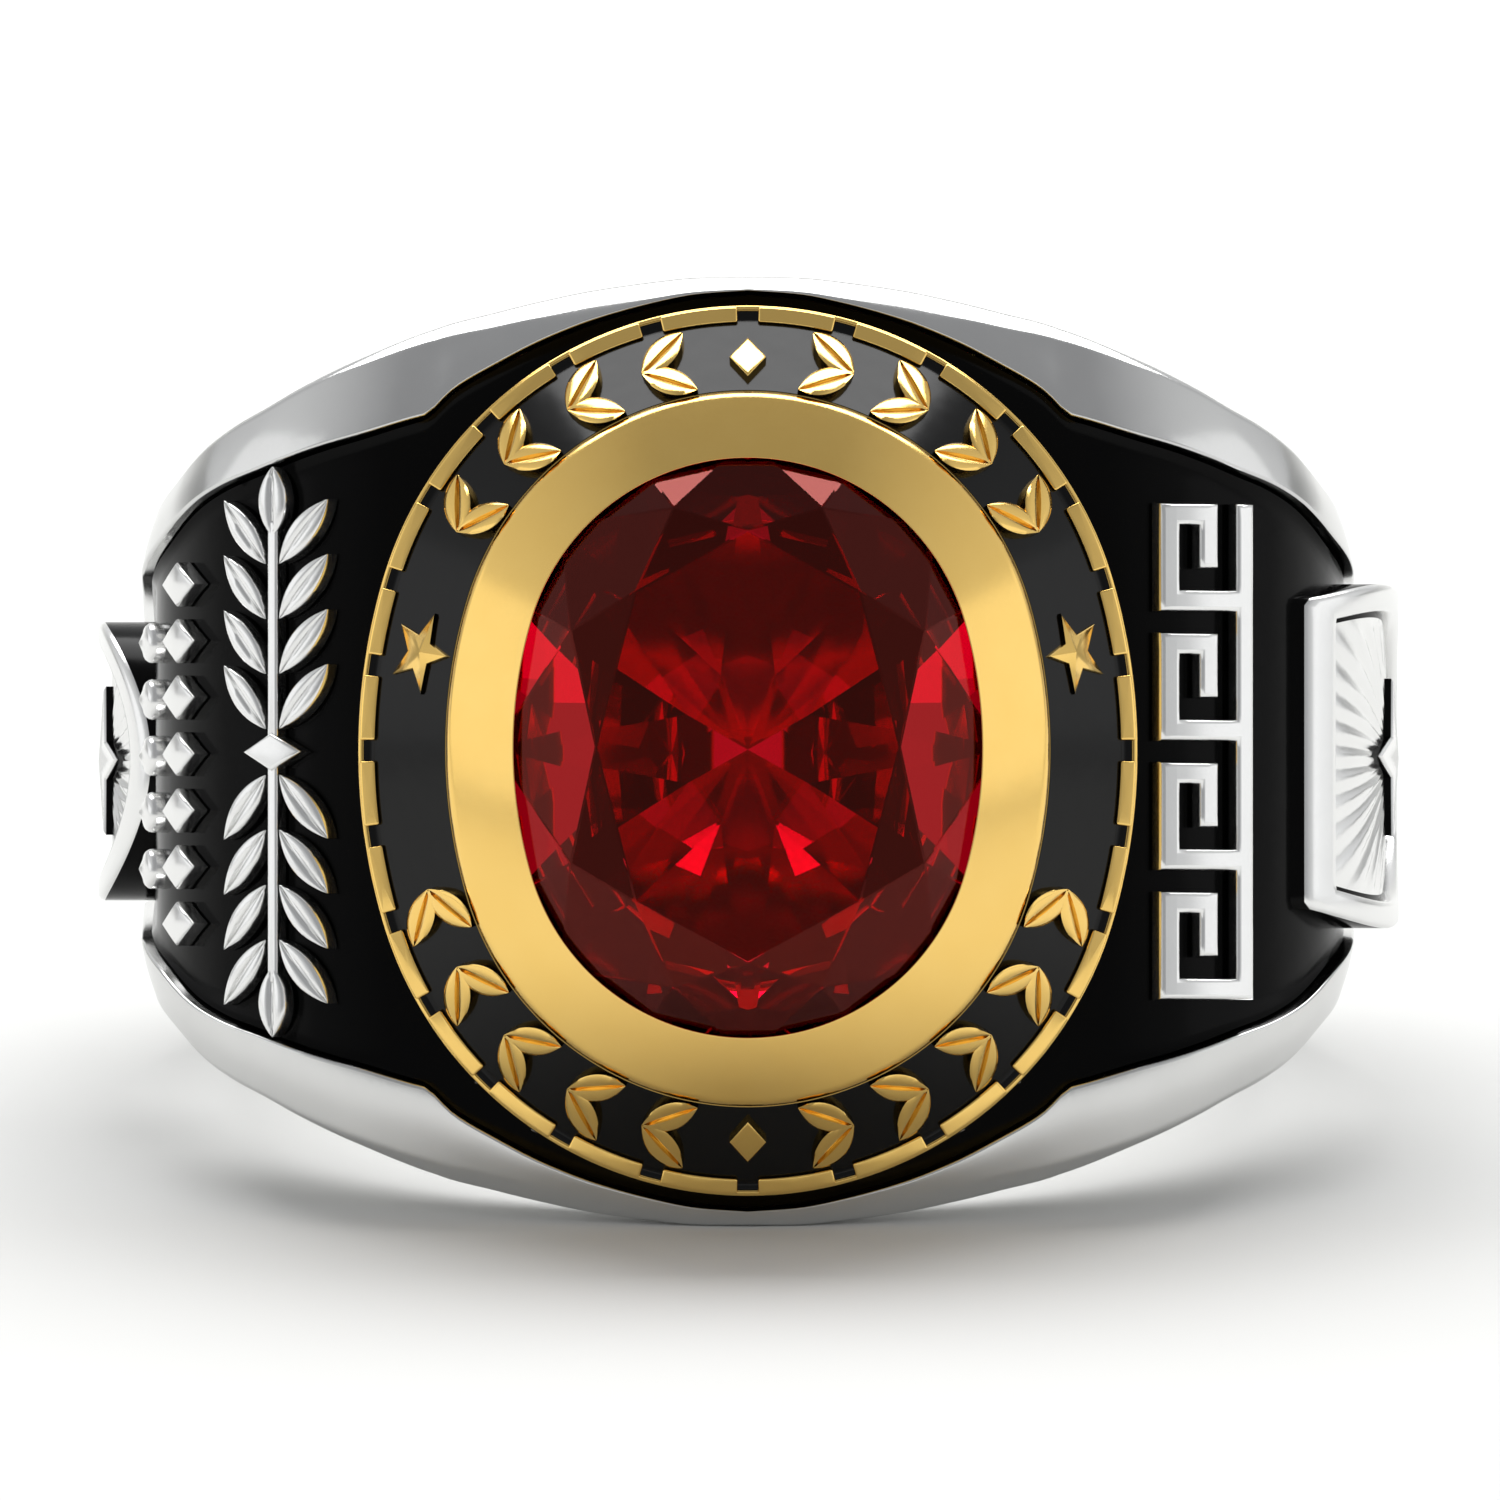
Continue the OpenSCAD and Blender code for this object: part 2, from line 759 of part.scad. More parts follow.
// where two neighbouring main facets meet there
function facet_tips(shares, s, z) = [
    for (k = [0:7])
        let(
            a = facet_turn(k),
            b = facet_turn(k + 1),
            p = main_reach(k, shares, s) / sin(b - a),
            q = main_reach(k + 1, shares, s) / sin(b - a)
        )
        [p * sin(b) - q * sin(a), q * cos(a) - p * cos(b), z]
];

module stone() {
    g = girdle_low;
    shares = [table_width, table_length];
    table = stone_ring(shares, table_z, 8);
    kites = facet_tips(shares, upper_reach, girdle_top + stone_top * upper_reach);
    upper = stone_ring([1, 1], girdle_top, 16);
    lower = stone_ring([1, 1], g, 16);
    keel = facet_tips([0, 0], lower_reach, g - stone_deep * lower_reach);
    points = concat(table, kites, upper, lower, keel, [[0, 0, culet_z]]);
    color("darkred")
        polyhedron(
            points = points,
            faces = concat(
                [[7, 6, 5, 4, 3, 2, 1, 0]],
                [for (k = [0:7]) let(n = (k + 1) % 8) [k, n, 8 + k]],
                [for (k = [0:7]) let(q = (k + 7) % 8) [k, 8 + k, 16 + 2 * k, 8 + q]],
                [
                    for (k = [0:7])
                        let(u = 16 + 2 * k, v = 16 + (2 * k + 2) % 16)
                        each [[8 + k, u + 1, u], [8 + k, v, u + 1]]
                ],
                [
                    for (k = [0:15])
                        let(n = (k + 1) % 16)
                        [16 + k, 16 + n, 32 + n, 32 + k]
                ],
                [
                    for (k = [0:7])
                        let(u = 32 + 2 * k, v = 32 + (2 * k + 2) % 16)
                        each [[48 + k, u, u + 1], [48 + k, u + 1, v]]
                ],
                [for (k = [0:7]) let(q = (k + 7) % 8) [56, 48 + q, 32 + 2 * k, 48 + k]]
            ),
            convexity = 3
        );
}

// the ring lies on the ends of its head and of its back
back_low = rail_drop * SECTION[0][2] + 1.2 * edge_facet * SECTION[0][1];
head_low = rail_drop * SECTION[len(SECTION) - 1][2] + 1.2 * edge_facet * SECTION[len(SECTION) - 1][1];
rest_tilt = atan2(head_half - back_half, head_top - head_low + (outer_r - back_low) * cos(2.5));
rest_z = head_half * cos(rest_tilt) - (head_top - head_low) * sin(rest_tilt);
front_y = -table_z * cos(rest_tilt) - table_length * (oval_y - girdle_edge) * sin(rest_tilt);
back_y = max([
    for (p = half_section(HALF[0]))
        p[0] * sin(rest_tilt) + (outer_r + p[1]) * cos(2.5) * cos(rest_tilt)
]);
rest_y = -(front_y + back_y) / 2;

module ring() {
    shank();
    enamel_fill();  // enamel
    crown();
    channel_enamel();
    stone();
}

translate([0, rest_y, rest_z])
    rotate([90 - rest_tilt, 0, 0])
        ring();
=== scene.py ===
"""Looks of a two-tone class ring on its side: silver shank, gold crown, black enamel, oval stone."""

import logging
import math
from dataclasses import dataclass, field
from enum import Enum
from typing import Callable, Optional, Sequence

import bpy
import numpy as np
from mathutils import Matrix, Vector


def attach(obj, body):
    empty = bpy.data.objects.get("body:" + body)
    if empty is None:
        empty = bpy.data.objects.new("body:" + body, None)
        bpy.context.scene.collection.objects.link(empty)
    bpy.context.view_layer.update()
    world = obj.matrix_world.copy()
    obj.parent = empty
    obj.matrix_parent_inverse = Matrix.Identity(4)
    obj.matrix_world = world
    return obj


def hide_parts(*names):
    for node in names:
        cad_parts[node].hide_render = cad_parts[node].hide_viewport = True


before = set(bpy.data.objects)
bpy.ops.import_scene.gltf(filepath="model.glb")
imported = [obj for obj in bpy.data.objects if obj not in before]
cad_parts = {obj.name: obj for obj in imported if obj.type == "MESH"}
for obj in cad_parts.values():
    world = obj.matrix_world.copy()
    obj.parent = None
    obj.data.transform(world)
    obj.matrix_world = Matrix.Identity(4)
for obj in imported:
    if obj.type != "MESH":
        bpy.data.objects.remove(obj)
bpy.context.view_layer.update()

log = logging.getLogger("class_ring")

MM = 0.001
Points = np.ndarray
Point = tuple[float, float, float]
Flat = tuple[float, float]

# width of the body as a share of the way from the back's to the head's half width: [place, share]
WIDTH = [
    (0, 0), (0.5, 0.01), (1, 0.06), (1.5, 0.107), (2, 0.167), (2.12, 0.244), (2.245, 0.32), (2.38, 0.431),
    (2.48, 0.5), (2.576, 0.559), (2.673, 0.628), (2.8, 0.711), (3, 0.824), (3.19, 0.88), (3.35, 0.922),
    (3.51, 0.957), (3.76, 0.993), (3.85, 1), (4, 1),
]
# width of the rail as a share of the way from the lip's to the rail's width: beside the panels,
# and then round the crown
RAIL_SIDE = [
    (0.66, 1.2), (0.72, 0.98), (0.8, 0.8), (1, 0.65), (1.5, 0.58), (2, 0.52), (2.12, 0.62), (2.32, 0.62),
    (2.5, 0.67), (2.69, 0.81), (2.85, 0.94), (2.977, 1),
]
RAIL_HEAD = [(2.977, 1), (3.07, 0.74), (3.26, 0.47), (3.38, 0.34), (3.586, 0.18), (3.79, 0.07), (4, 0)]
# the rail's section: [place, share of the edge facet, share of the drop, inner share of the width]
SECTION = [
    (0, 0.3, 0.8, 0.97), (1, 0.3, 0.8, 0.97), (2, 0.3, 0.7, 0.95), (2.5, 0.35, 0.8, 0.9),
    (2.8, 0.5, 0.9, 0.88), (3, 0.75, 1, 0.87), (3.26, 0.95, 0.6, 0.87), (3.4, 1, 0.5, 0.87),
    (3.8, 0.8, 0.2, 0.87), (4, 0.67, 0.12, 0.87),
]
# places where the sunk panel ends at the back, and where it turns round the crown
PANEL_END = 0.66
PANEL_CORNER = 2.977
# half a facet of the solid body's round back, in degrees, on which the ring rests
HALF_FACET = 2.5
# steps of a small rounded edge, in degrees
EDGE_ROUND = np.radians([25, 50, 70, 90])
# share of a relief's height up to which its wall stays black
BLACKENED = 0.45
# how far a relief's foot runs into the surface under it
FOOT = 0.02
# inner corners of a five-pointed star, as a share of its points' reach
STAR_IN = 0.42
# stations of a section that runs round the crown
OVAL_STATIONS = 336


class Side(Enum):
    """The two shoulders of the ring."""

    LEFT = -1
    RIGHT = 1


def table_at(table: Sequence[Sequence[float]], column: int, place: float) -> float:
    """Reads one column of a table of sections through its rows, along a smooth curve.

    Args:
        table: rows that start with their place.
        column: the column to read.
        place: where to read it.

    Returns:
        The value there.
    """
    i = 0
    while i < len(table) - 2 and place >= table[i + 1][0]:
        i += 1

    def lean(k: int) -> float:
        """Slope of the column at row k."""
        a, b = max(k - 1, 0), min(k + 1, len(table) - 1)
        return (table[b][column] - table[a][column]) / (table[b][0] - table[a][0])

    h = table[i + 1][0] - table[i][0]
    s = (place - table[i][0]) / h
    p, q = table[i][column], table[i + 1][column]
    return (
        p * (1 + 2 * s) * (1 - s) ** 2
        + lean(i) * h * s * (1 - s) ** 2
        + q * s * s * (3 - 2 * s)
        + lean(i + 1) * h * s * s * (s - 1)
    )


def linear(hex_colour: str) -> tuple[float, float, float, float]:
    """Turns an sRGB hex colour into Blender's linear colour.

    Args:
        hex_colour: six hex digits after a hash sign.

    Returns:
        Linear red, green, blue and a full alpha.
    """
    channels = [int(hex_colour[k : k + 2], 16) / 255 for k in (1, 3, 5)]
    lin = [c / 12.92 if c <= 0.04045 else ((c + 0.055) / 1.055) ** 2.4 for c in channels]
    return (lin[0], lin[1], lin[2], 1.0)


@dataclass(frozen=True)
class RingSizes:
    """Every size that the looks share with the solids, in millimetres."""

    bore_d: float = 19.8
    shank_wall: float = 1.4
    back_width: float = 6.8
    head_wall: float = 1.15
    shoulder_round: float = 5.5
    rail_width: float = 1.58
    lip_width: float = 0.27
    rail_drop: float = 0.37
    rail_crown: float = 0.35
    edge_facet: float = 0.33
    facet_slope: float = 1.2
    panel_depth: float = 0.45
    wall_lean: float = 0.08
    relief: float = 0.6
    emblem_relief: float = 1.27
    emblem_round: float = 4.3
    emblem_width: float = 6.4
    emblem_height: float = 6.8
    medal_d: float = 5.2
    emblem_border: float = 0.5
    emblem_field: float = 0.3
    emblem_lower: float = 0.4
    medal_lower: float = 0.6
    sprig_height: float = 2.6
    sprig_pitch: float = 1.02
    sprig_stem: float = 0.22
    sprig_pairs: int = 4
    key_height: float = 2.0
    key_count: int = 4
    row_pitch: float = 1.05
    row_height: float = 1.2
    enamel: float = 0.15
    bezel_width: float = 11.16
    bezel_length: float = 13.22
    channel_width: float = 1.64
    surround: float = 0.29
    rim_height: float = 0.9
    rim_width: float = 0.32
    rim_line: float = 0.08
    block_height: float = 0.3
    blocks: int = 28
    notch: float = 0.38
    leaf_length: float = 1.1
    leaf_width: float = 0.52
    star_r: float = 0.8
    channel_rise: float = 1.48
    channel_in: float = 0.03
    leaf_relief: float = 0.32
    bezel_step: float = 0.4
    bezel_face: float = 1.25
    bezel_rise: float = 0.85
    lip_drop: float = 0.42
    seat_lap: float = 0.34
    cup_in: Flat = (0.4, 1.6)
    cup_drop: float = 0.55
    bore_cut: float = 0.8
    flat_half: float = 0.1
    arc_turn: float = 16.26
    stone_cover: float = 0.35
    stone_top: float = 1.25
    stone_deep: float = 3.2
    girdle: float = 0.16
    table_width: float = 0.6
    table_length: float = 0.7
    upper_reach: float = 0.75
    lower_reach: float = 0.76
    facet_lean: float = 5.0
    fit: float = 0.02
    stone_gap: float = 0.15

    def __post_init__(self) -> None:
        """Works out the sizes that follow from the named ones."""
        put = lambda name, value: object.__setattr__(self, name, value)
        put("bore_r", self.bore_d / 2)
        put("outer_r", self.bore_r + self.shank_wall)
        put("deck_z", self.bore_r + self.head_wall)
        put("head_top", self.deck_z + self.panel_depth)
        put("corner_z", self.head_top - self.shoulder_round)
        put("corner_x", self.outer_r - self.shoulder_round)
        put("panel_r", self.shoulder_round - self.panel_depth)
        put("oval_x", self.bezel_width / 2)
        put("oval_y", self.bezel_length / 2)
        put("end_turn", math.radians(self.arc_turn))
        put("end_shift", (self.oval_y - self.oval_x) / (1 - math.tan(self.end_turn / 2)))
        put("side_shift", self.end_shift / math.tan(self.end_turn))
        put("end_round", self.oval_y - self.end_shift)
        put("side_round", self.end_round + self.end_shift / math.sin(self.end_turn))
        put("head_half", self.oval_y + self.channel_width + self.surround + self.lip_width)
        put("back_half", self.back_width / 2)
        put("rim_z", self.deck_z + self.rim_height)
        put("floor_z", self.rim_z - self.block_height)
        put("channel_foot", self.channel_width - self.rim_width)
        put("channel_slope", self.channel_rise / (self.channel_foot - self.channel_in))
        put("step_z", self.floor_z + self.channel_rise)
        put("face_z", self.step_z + self.bezel_step)
        put("lip_z", self.face_z + self.bezel_rise)
        put("girdle_edge", self.bezel_face - self.stone_cover)
        put("girdle_top", self.lip_z - self.lip_drop)
        put("girdle_low", self.girdle_top - self.girdle)
        put("table_z", self.girdle_top + self.stone_top)
        put("culet_z", self.girdle_low - self.stone_deep)
        point_r = (1 - self.lower_reach) * (self.oval_y - self.girdle_edge)
        put("well_r", 1.2 * point_r + self.stone_gap)
        put("star_squash", 1 / math.hypot(1, self.channel_slope))
        put("emblem_z", self.corner_z - self.emblem_lower)
        put("medal_z", self.corner_z / 2 - self.medal_lower)
        groove_x = self.oval_x + self.channel_width + self.surround / 2
        top = math.acos((groove_x - self.corner_x) / self.panel_r)
        put("sprig_turn", top - self.sprig_height / self.panel_r / 2)
        put("key_turn", top - self.key_height / self.panel_r / 2)
        self._rest(put)

    def _rest(self, put: Callable[[str, float], None]) -> None:
        """Works out how the ring lies on the ends of its head and of its back."""
        drop = lambda row: self.rail_drop * row[2] + self.facet_slope * self.edge_facet * row[1]
        lie = math.cos(math.radians(HALF_FACET))
        head_low = self.head_top - drop(SECTION[-1])
        back_low = (self.outer_r - drop(SECTION[0])) * lie
        tilt = math.atan2(self.head_half - self.back_half, head_low + back_low)
        put("tilt", tilt)
        put("rest_z", self.head_half * math.cos(tilt) - head_low * math.sin(tilt))
        table_half = self.table_length * (self.oval_y - self.girdle_edge)
        front = -self.table_z * math.cos(tilt) - table_half * math.sin(tilt)
        back = max(
            v * math.sin(tilt) + (self.outer_r + d) * lie * math.cos(tilt)
            for v, d in self.half_section(HALF_FACET / 90)
        )
        put("rest_y", -(front + back) / 2)

    def half_width(self, t: float) -> float:
        """Half the ring's width along the finger at a place of its outline."""
        return self.back_half + table_at(WIDTH, 1, t) * (self.head_half - self.back_half)

    def rail(self, t: float) -> float:
        """Width of the rail at a place of the outline, beside the panel or the crown's groove."""
        share = table_at(RAIL_SIDE, 1, t) if t < PANEL_CORNER else table_at(RAIL_HEAD, 1, t)
        return self.lip_width + (self.rail_width - self.lip_width) * share

    def panel_half(self, t: float) -> float:
        """Half the width of the sunk panel at a place of the outline."""
        return self.flat_half if t < PANEL_END else self.half_width(t) - self.rail(t)

    def half_section(self, t: float) -> list[Flat]:
        """Half a section at a place of the outline, from the panel's floor outwards.

        Args:
            t: the place.

        Returns:
            Points as how far along the finger, and how far out of the outline.
        """
        w, e = self.half_width(t), self.panel_half(t)
        f = self.edge_facet * table_at(SECTION, 1, t)
        d = self.rail_drop * table_at(SECTION, 2, t)
        sunk = 0.0 if t < PANEL_END else self.panel_depth
        crown = ((e + w - f) / 2, -self.rail_crown * d)
        return [(e - self.wall_lean, -sunk), (e, 0.0), crown, (w - f, -d), (w, -d - self.facet_slope * f)]

    def out_dir(self, t: float) -> Flat:
        """Direction out of the ring's outline, in the plane across the finger.

        Args:
            t: the place: a whole number more for each of the back's quarter, the flank, the shoulder
                and the head.

        Returns:
            Its parts to the right and towards the stone.
        """
        if t < 1:
            a = math.radians(90 * t - 90)
        elif t < 2:
            a = 0.0
        elif t < 3:
            a = math.radians(90 * (t - 2))
        else:
            a = math.pi / 2
        return math.cos(a), math.sin(a)

    def out_point(self, t: float, d: float = 0.0) -> Flat:
        """A point near the outline, on the right half of the ring.

        Args:
            t: its place.
            d: how far it lies out of the outline.

        Returns:
            How far it lies to the right and towards the stone.
        """
        nx, nz = self.out_dir(t)
        if t < 1:
            return (self.outer_r + d) * nx, (self.outer_r + d) * nz
        if t < 2:
            return self.outer_r + d, self.corner_z * (t - 1)
        if t < 3:
            out = self.shoulder_round + d
            return self.corner_x + out * nx, self.corner_z + out * nz
        return self.corner_x * (4 - t), self.head_top + d

    def place(self, t: float, side: float, v: float, d: float) -> Point:
        """A point of the ring by its place on the outline.

        Args:
            t: its place on the right half's outline.
            side: 1 for the right half, -1 for the left.
            v: its place along the finger.
            d: how far it lies out of the outline.

        Returns:
            The point in the ring's frame.
        """
        x, z = self.out_point(t, d)
        return side * x, v, z

    def oval(self, grow: float, a: float) -> Flat:
        """A point of an oval that runs parallel to the bezel's edge.

        Args:
            grow: how far the oval lies outside the bezel's edge.
            a: the direction square to the oval at the point.

        Returns:
            The point in plan.
        """
        c, s = math.cos(a), math.sin(a)
        if abs(c) > math.cos(self.end_turn):
            r = self.side_round + grow
            return r * c - math.copysign(self.side_shift, c), r * s
        r = self.end_round + grow
        return r * c, r * s + math.copysign(self.end_shift, s)

    def oval_distance(self, x: float, y: float) -> float:
        """How far a point in plan lies outside the bezel's edge.

        Args:
            x: its place across the finger.
            y: its place along the finger.

        Returns:
            The distance, less than 0 inside.
        """
        ax, ay = abs(x), abs(y)
        if math.atan2(ay - self.end_shift, ax) > self.end_turn:
            return math.hypot(ax, ay - self.end_shift) - self.end_round
        return math.hypot(ax + self.side_shift, ay) - self.side_round

    def slope_z(self, e: float, over: float = 0.0) -> float:
        """Height of the channel's slope that far from the bezel, raised square to it."""
        rise = over * math.hypot(1, self.channel_slope)
        return self.floor_z + (self.channel_foot - e) * self.channel_slope + rise

    def to_row(self, points: Points) -> Points:
        """Lays the ring down as it rests.

        Args:
            points: points of the ring's own frame, in millimetres.

        Returns:
            The same points in the shared frame, in metres.
        """
        p = np.asarray(points, float)
        s, c = math.sin(self.tilt), math.cos(self.tilt)
        y = p[:, 1] * s - p[:, 2] * c + self.rest_y
        z = p[:, 1] * c + p[:, 2] * s + self.rest_z
        return np.stack([p[:, 0], y, z], axis=1) * MM


RING = RingSizes()


def add_node(
    tree: bpy.types.NodeTree, kind: str, settings: Optional[dict] = None, links: Optional[dict] = None
) -> bpy.types.Node:
    """Adds a node with its settings and links.

    Args:
        tree: the node tree.
        kind: the node's type name.
        settings: attributes by name, or socket values by the socket's name.
        links: output sockets by the name or number of the input that they feed.

    Returns:
        The new node.
    """
    node = tree.nodes.new(kind)
    for name, value in (settings or {}).items():
        if hasattr(node, name):
            setattr(node, name, value)
        else:
            node.inputs[name].default_value = value
    for name, socket in (links or {}).items():
        tree.links.new(socket, node.inputs[name])
    return node


def fresh_material(name: str) -> tuple[bpy.types.Material, bpy.types.NodeTree]:
    """Makes an empty node material."""
    material = bpy.data.materials.new(name)
    material.use_nodes = True
    material.node_tree.nodes.clear()
    return material, material.node_tree


def finish_material(tree: bpy.types.NodeTree, shader: bpy.types.Node) -> None:
    """Joins the shader to the material's output."""
    add_node(tree, "ShaderNodeOutputMaterial", links={"Surface": shader.outputs[0]})


@dataclass(frozen=True)
class Unevenness:
    """How a surface departs from dead flat: cloudy swells of a real size and depth."""

    size_mm: float
    depth_mm: float
    strength: float
    detail: float = 1.0

    def build(self, tree: bpy.types.NodeTree) -> tuple[bpy.types.NodeSocket, bpy.types.NodeSocket]:
        """Adds the swells to a material.

        Args:
            tree: the material's nodes.

        Returns:
            The swells' height, and the surface's direction with them.
        """
        swell = add_node(
            tree,
            "ShaderNodeTexNoise",
            {"Scale": 1 / (self.size_mm * MM), "Detail": self.detail},
            {"Vector": add_node(tree, "ShaderNodeTexCoord").outputs["Object"]},
        )
        bump = add_node(
            tree,
            "ShaderNodeBump",
            {"Strength": self.strength, "Distance": self.depth_mm * MM},
            {"Height": swell.outputs["Fac"]},
        )
        return swell.outputs["Fac"], bump.outputs[0]


@dataclass(frozen=True)
class CastMetal:
    """A cast and polished precious metal: fine polishing lines and a slightly uneven mirror.

    Sterling silver or yellow gold alloy, cast, tumbled and polished by hand. To the eye the slight
    ripple bends reflections a little, and the lines take the hard edge off them.
    """

    name: str
    colour: str
    shade: str
    roughness: float = 0.16
    ripple: Unevenness = Unevenness(0.9, 0.05, 0.06, 3.0)
    # real polishing lines are too fine to show in the render, so they are drawn this coarse
    line_mm: float = 0.06
    cloud: float = 0.35

    def build(self) -> bpy.types.Material:
        """Makes the material; uneven roughness tells polished casting from a mirror."""
        material, tree = fresh_material(self.name)
        ripple, normal = self.ripple.build(tree)
        lines = add_node(
            tree,
            "ShaderNodeTexNoise",
            {"Scale": 1 / (self.line_mm * MM), "Detail": 2.0},
            {"Vector": add_node(tree, "ShaderNodeTexCoord").outputs["Object"]},
        )
        share = add_node(tree, "ShaderNodeMapRange", {"To Max": self.cloud}, {"Value": ripple})
        tone = add_node(tree, "ShaderNodeMix", {"data_type": "RGBA"}, {0: share.outputs[0]})
        tone.inputs[6].default_value = linear(self.colour)
        tone.inputs[7].default_value = linear(self.shade)
        rough = add_node(
            tree,
            "ShaderNodeMapRange",
            {"To Min": self.roughness * 0.75, "To Max": self.roughness * 1.35},
            {"Value": lines.outputs["Fac"]},
        )
        shader = add_node(
            tree,
            "ShaderNodeBsdfPrincipled",
            {"Metallic": 1.0},
            {"Base Color": tone.outputs[2], "Roughness": rough.outputs[0], "Normal": normal},
        )
        finish_material(tree, shader)
        return material


@dataclass(frozen=True)
class BlackEnamel:
    """Fired black enamel, a lead-free glass melted into the recesses and polished level.

    To the eye it is a deep glassy black, and its slightly rolling surface breaks up highlights.
    """

    name: str = "fired_black_enamel"
    colour: str = "#030303"
    roughness: float = 0.16
    ior: float = 1.5
    gloss: float = 0.22
    roll: Unevenness = Unevenness(0.6, 0.03, 0.15)

    def build(self) -> bpy.types.Material:
        """Makes the material; the roll breaks up its highlights."""
        material, tree = fresh_material(self.name)
        shader = add_node(
            tree,
            "ShaderNodeBsdfPrincipled",
            {
                "Base Color": linear(self.colour),
                "Roughness": self.roughness,
                "IOR": self.ior,
                "Specular IOR Level": self.gloss,
            },
            {"Normal": self.roll.build(tree)[1]},
        )
        finish_material(tree, shader)
        return material


@dataclass(frozen=True)
class RedCorundum:
    """Synthetic red corundum, cut and polished: clear, deep red, with sharp bright facet edges.

    To the eye its facets switch between black, deep red and bright red as light is thrown back
    from below, and the surface's own gloss stays faint and reddish.
    """

    name: str = "cut_red_corundum"
    colour: str = "#f00022"
    shade: str = "#d4001a"
    sheen: str = "#ff6a5c"
    gloss: float = 0.12
    roughness: float = 0.0
    ior: float = 1.77
    cloud_mm: float = 2.5

    def build(self) -> bpy.types.Material:
        """Makes the material; the colour deepens with each pass through the stone."""
        material, tree = fresh_material(self.name)
        where = add_node(tree, "ShaderNodeTexCoord").outputs["Object"]
        cloud = add_node(
            tree,
            "ShaderNodeTexNoise",
            {"Scale": 1 / (self.cloud_mm * MM), "Detail": 1.0},
            {"Vector": where},
        )
        tone = add_node(tree, "ShaderNodeMix", {"data_type": "RGBA"}, {0: cloud.outputs["Fac"]})
        tone.inputs[6].default_value = linear(self.colour)
        tone.inputs[7].default_value = linear(self.shade)
        shader = add_node(
            tree,
            "ShaderNodeBsdfPrincipled",
            {
                "Roughness": self.roughness,
                "IOR": self.ior,
                "Transmission Weight": 1.0,
                "Specular IOR Level": self.gloss,
                "Specular Tint": linear(self.sheen),
            },
            {"Base Color": tone.outputs[2]},
        )
        finish_material(tree, shader)
        return material


@dataclass(frozen=True)
class StudioPaper:
    """Seamless pale paper for the floor and the background; it shows white under the lights."""

    name: str = "matt_pale_paper"
    colour: str = "#dededc"
    roughness: float = 0.9
    fibre: Unevenness = Unevenness(1.5, 0.02, 0.05, 4.0)

    def build(self) -> bpy.types.Material:
        """Makes the material; a faint fibre keeps it from looking like light itself."""
        material, tree = fresh_material(self.name)
        shader = add_node(
            tree,
            "ShaderNodeBsdfPrincipled",
            {"Base Color": linear(self.colour), "Roughness": self.roughness},
            {"Normal": self.fibre.build(tree)[1]},
        )
        finish_material(tree, shader)
        return material


@dataclass
class Skin:
    """Collects points and faces of one piece in the ring's own frame."""

    points: list = field(default_factory=list)
    faces: list = field(default_factory=list)
    slots: list = field(default_factory=list)

    def add(self, point: Sequence[float]) -> int:
        """Adds a point and returns its number."""
        self.points.append(tuple(point))
        return len(self.points) - 1

    def face(self, corners: Sequence[int], slot: int = 0) -> None:
        """Adds a face with a material slot."""
        self.faces.append(tuple(corners))
        self.slots.append(slot)

    def grid(
        self,
        rows: Sequence[Sequence[Sequence[float]]],
        closed: bool = False,
        loop: bool = False,
        slot: Callable[[int, int], int] = lambda j, i: 0,
        keep: Callable[[Sequence[float]], bool] = lambda p: True,
    ) -> None:
        """Adds rows of points and the faces between them.

        Args:
            rows: rows of equal length.
            closed: whether the last row joins the first.
            loop: whether each row's last point joins its first.
            slot: the material slot of the face at a row and a column.
            keep: says of a face's middle whether the face is wanted.
        """
        start = len(self.points)
        n, m = len(rows), len(rows[0])
        for row in rows:
            self.points.extend(tuple(p) for p in row)
        for j in range(n if closed else n - 1):
            for i in range(m if loop else m - 1):
                a, b = start + j * m, start + ((j + 1) % n) * m
                ring = (a + i, b + i, b + (i + 1) % m, a + (i + 1) % m)
                mid = np.mean([self.points[k] for k in ring], axis=0)
                if keep(mid):
                    self.face(ring, slot(j, i))

    def piece(
        self, name: str, materials: Sequence[bpy.types.Material], sharp: float = 38.0
    ) -> bpy.types.Object:
        """Makes the object, lays it down as the ring rests and fixes it to the ring.

        Args:
            name: the piece's name.
            materials: its materials, by slot number.
            sharp: faces that meet at more degrees than this keep a hard edge.

        Returns:
            The new object.
        """
        mesh = bpy.data.meshes.new(name)
        mesh.from_pydata(RING.to_row(np.array(self.points)).tolist(), [], self.faces)
        for material in materials:
            mesh.materials.append(material)
        mesh.polygons.foreach_set("material_index", np.array(self.slots, np.int32))
        mesh.validate()
        mesh.update()
        mesh.shade_smooth()
        mesh.set_sharp_from_angle(angle=math.radians(sharp))
        obj = bpy.data.objects.new(name, mesh)
        bpy.context.scene.collection.objects.link(obj)
        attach(obj, "root")
        log.info("%s: %d faces", name, len(mesh.polygons))
        return obj


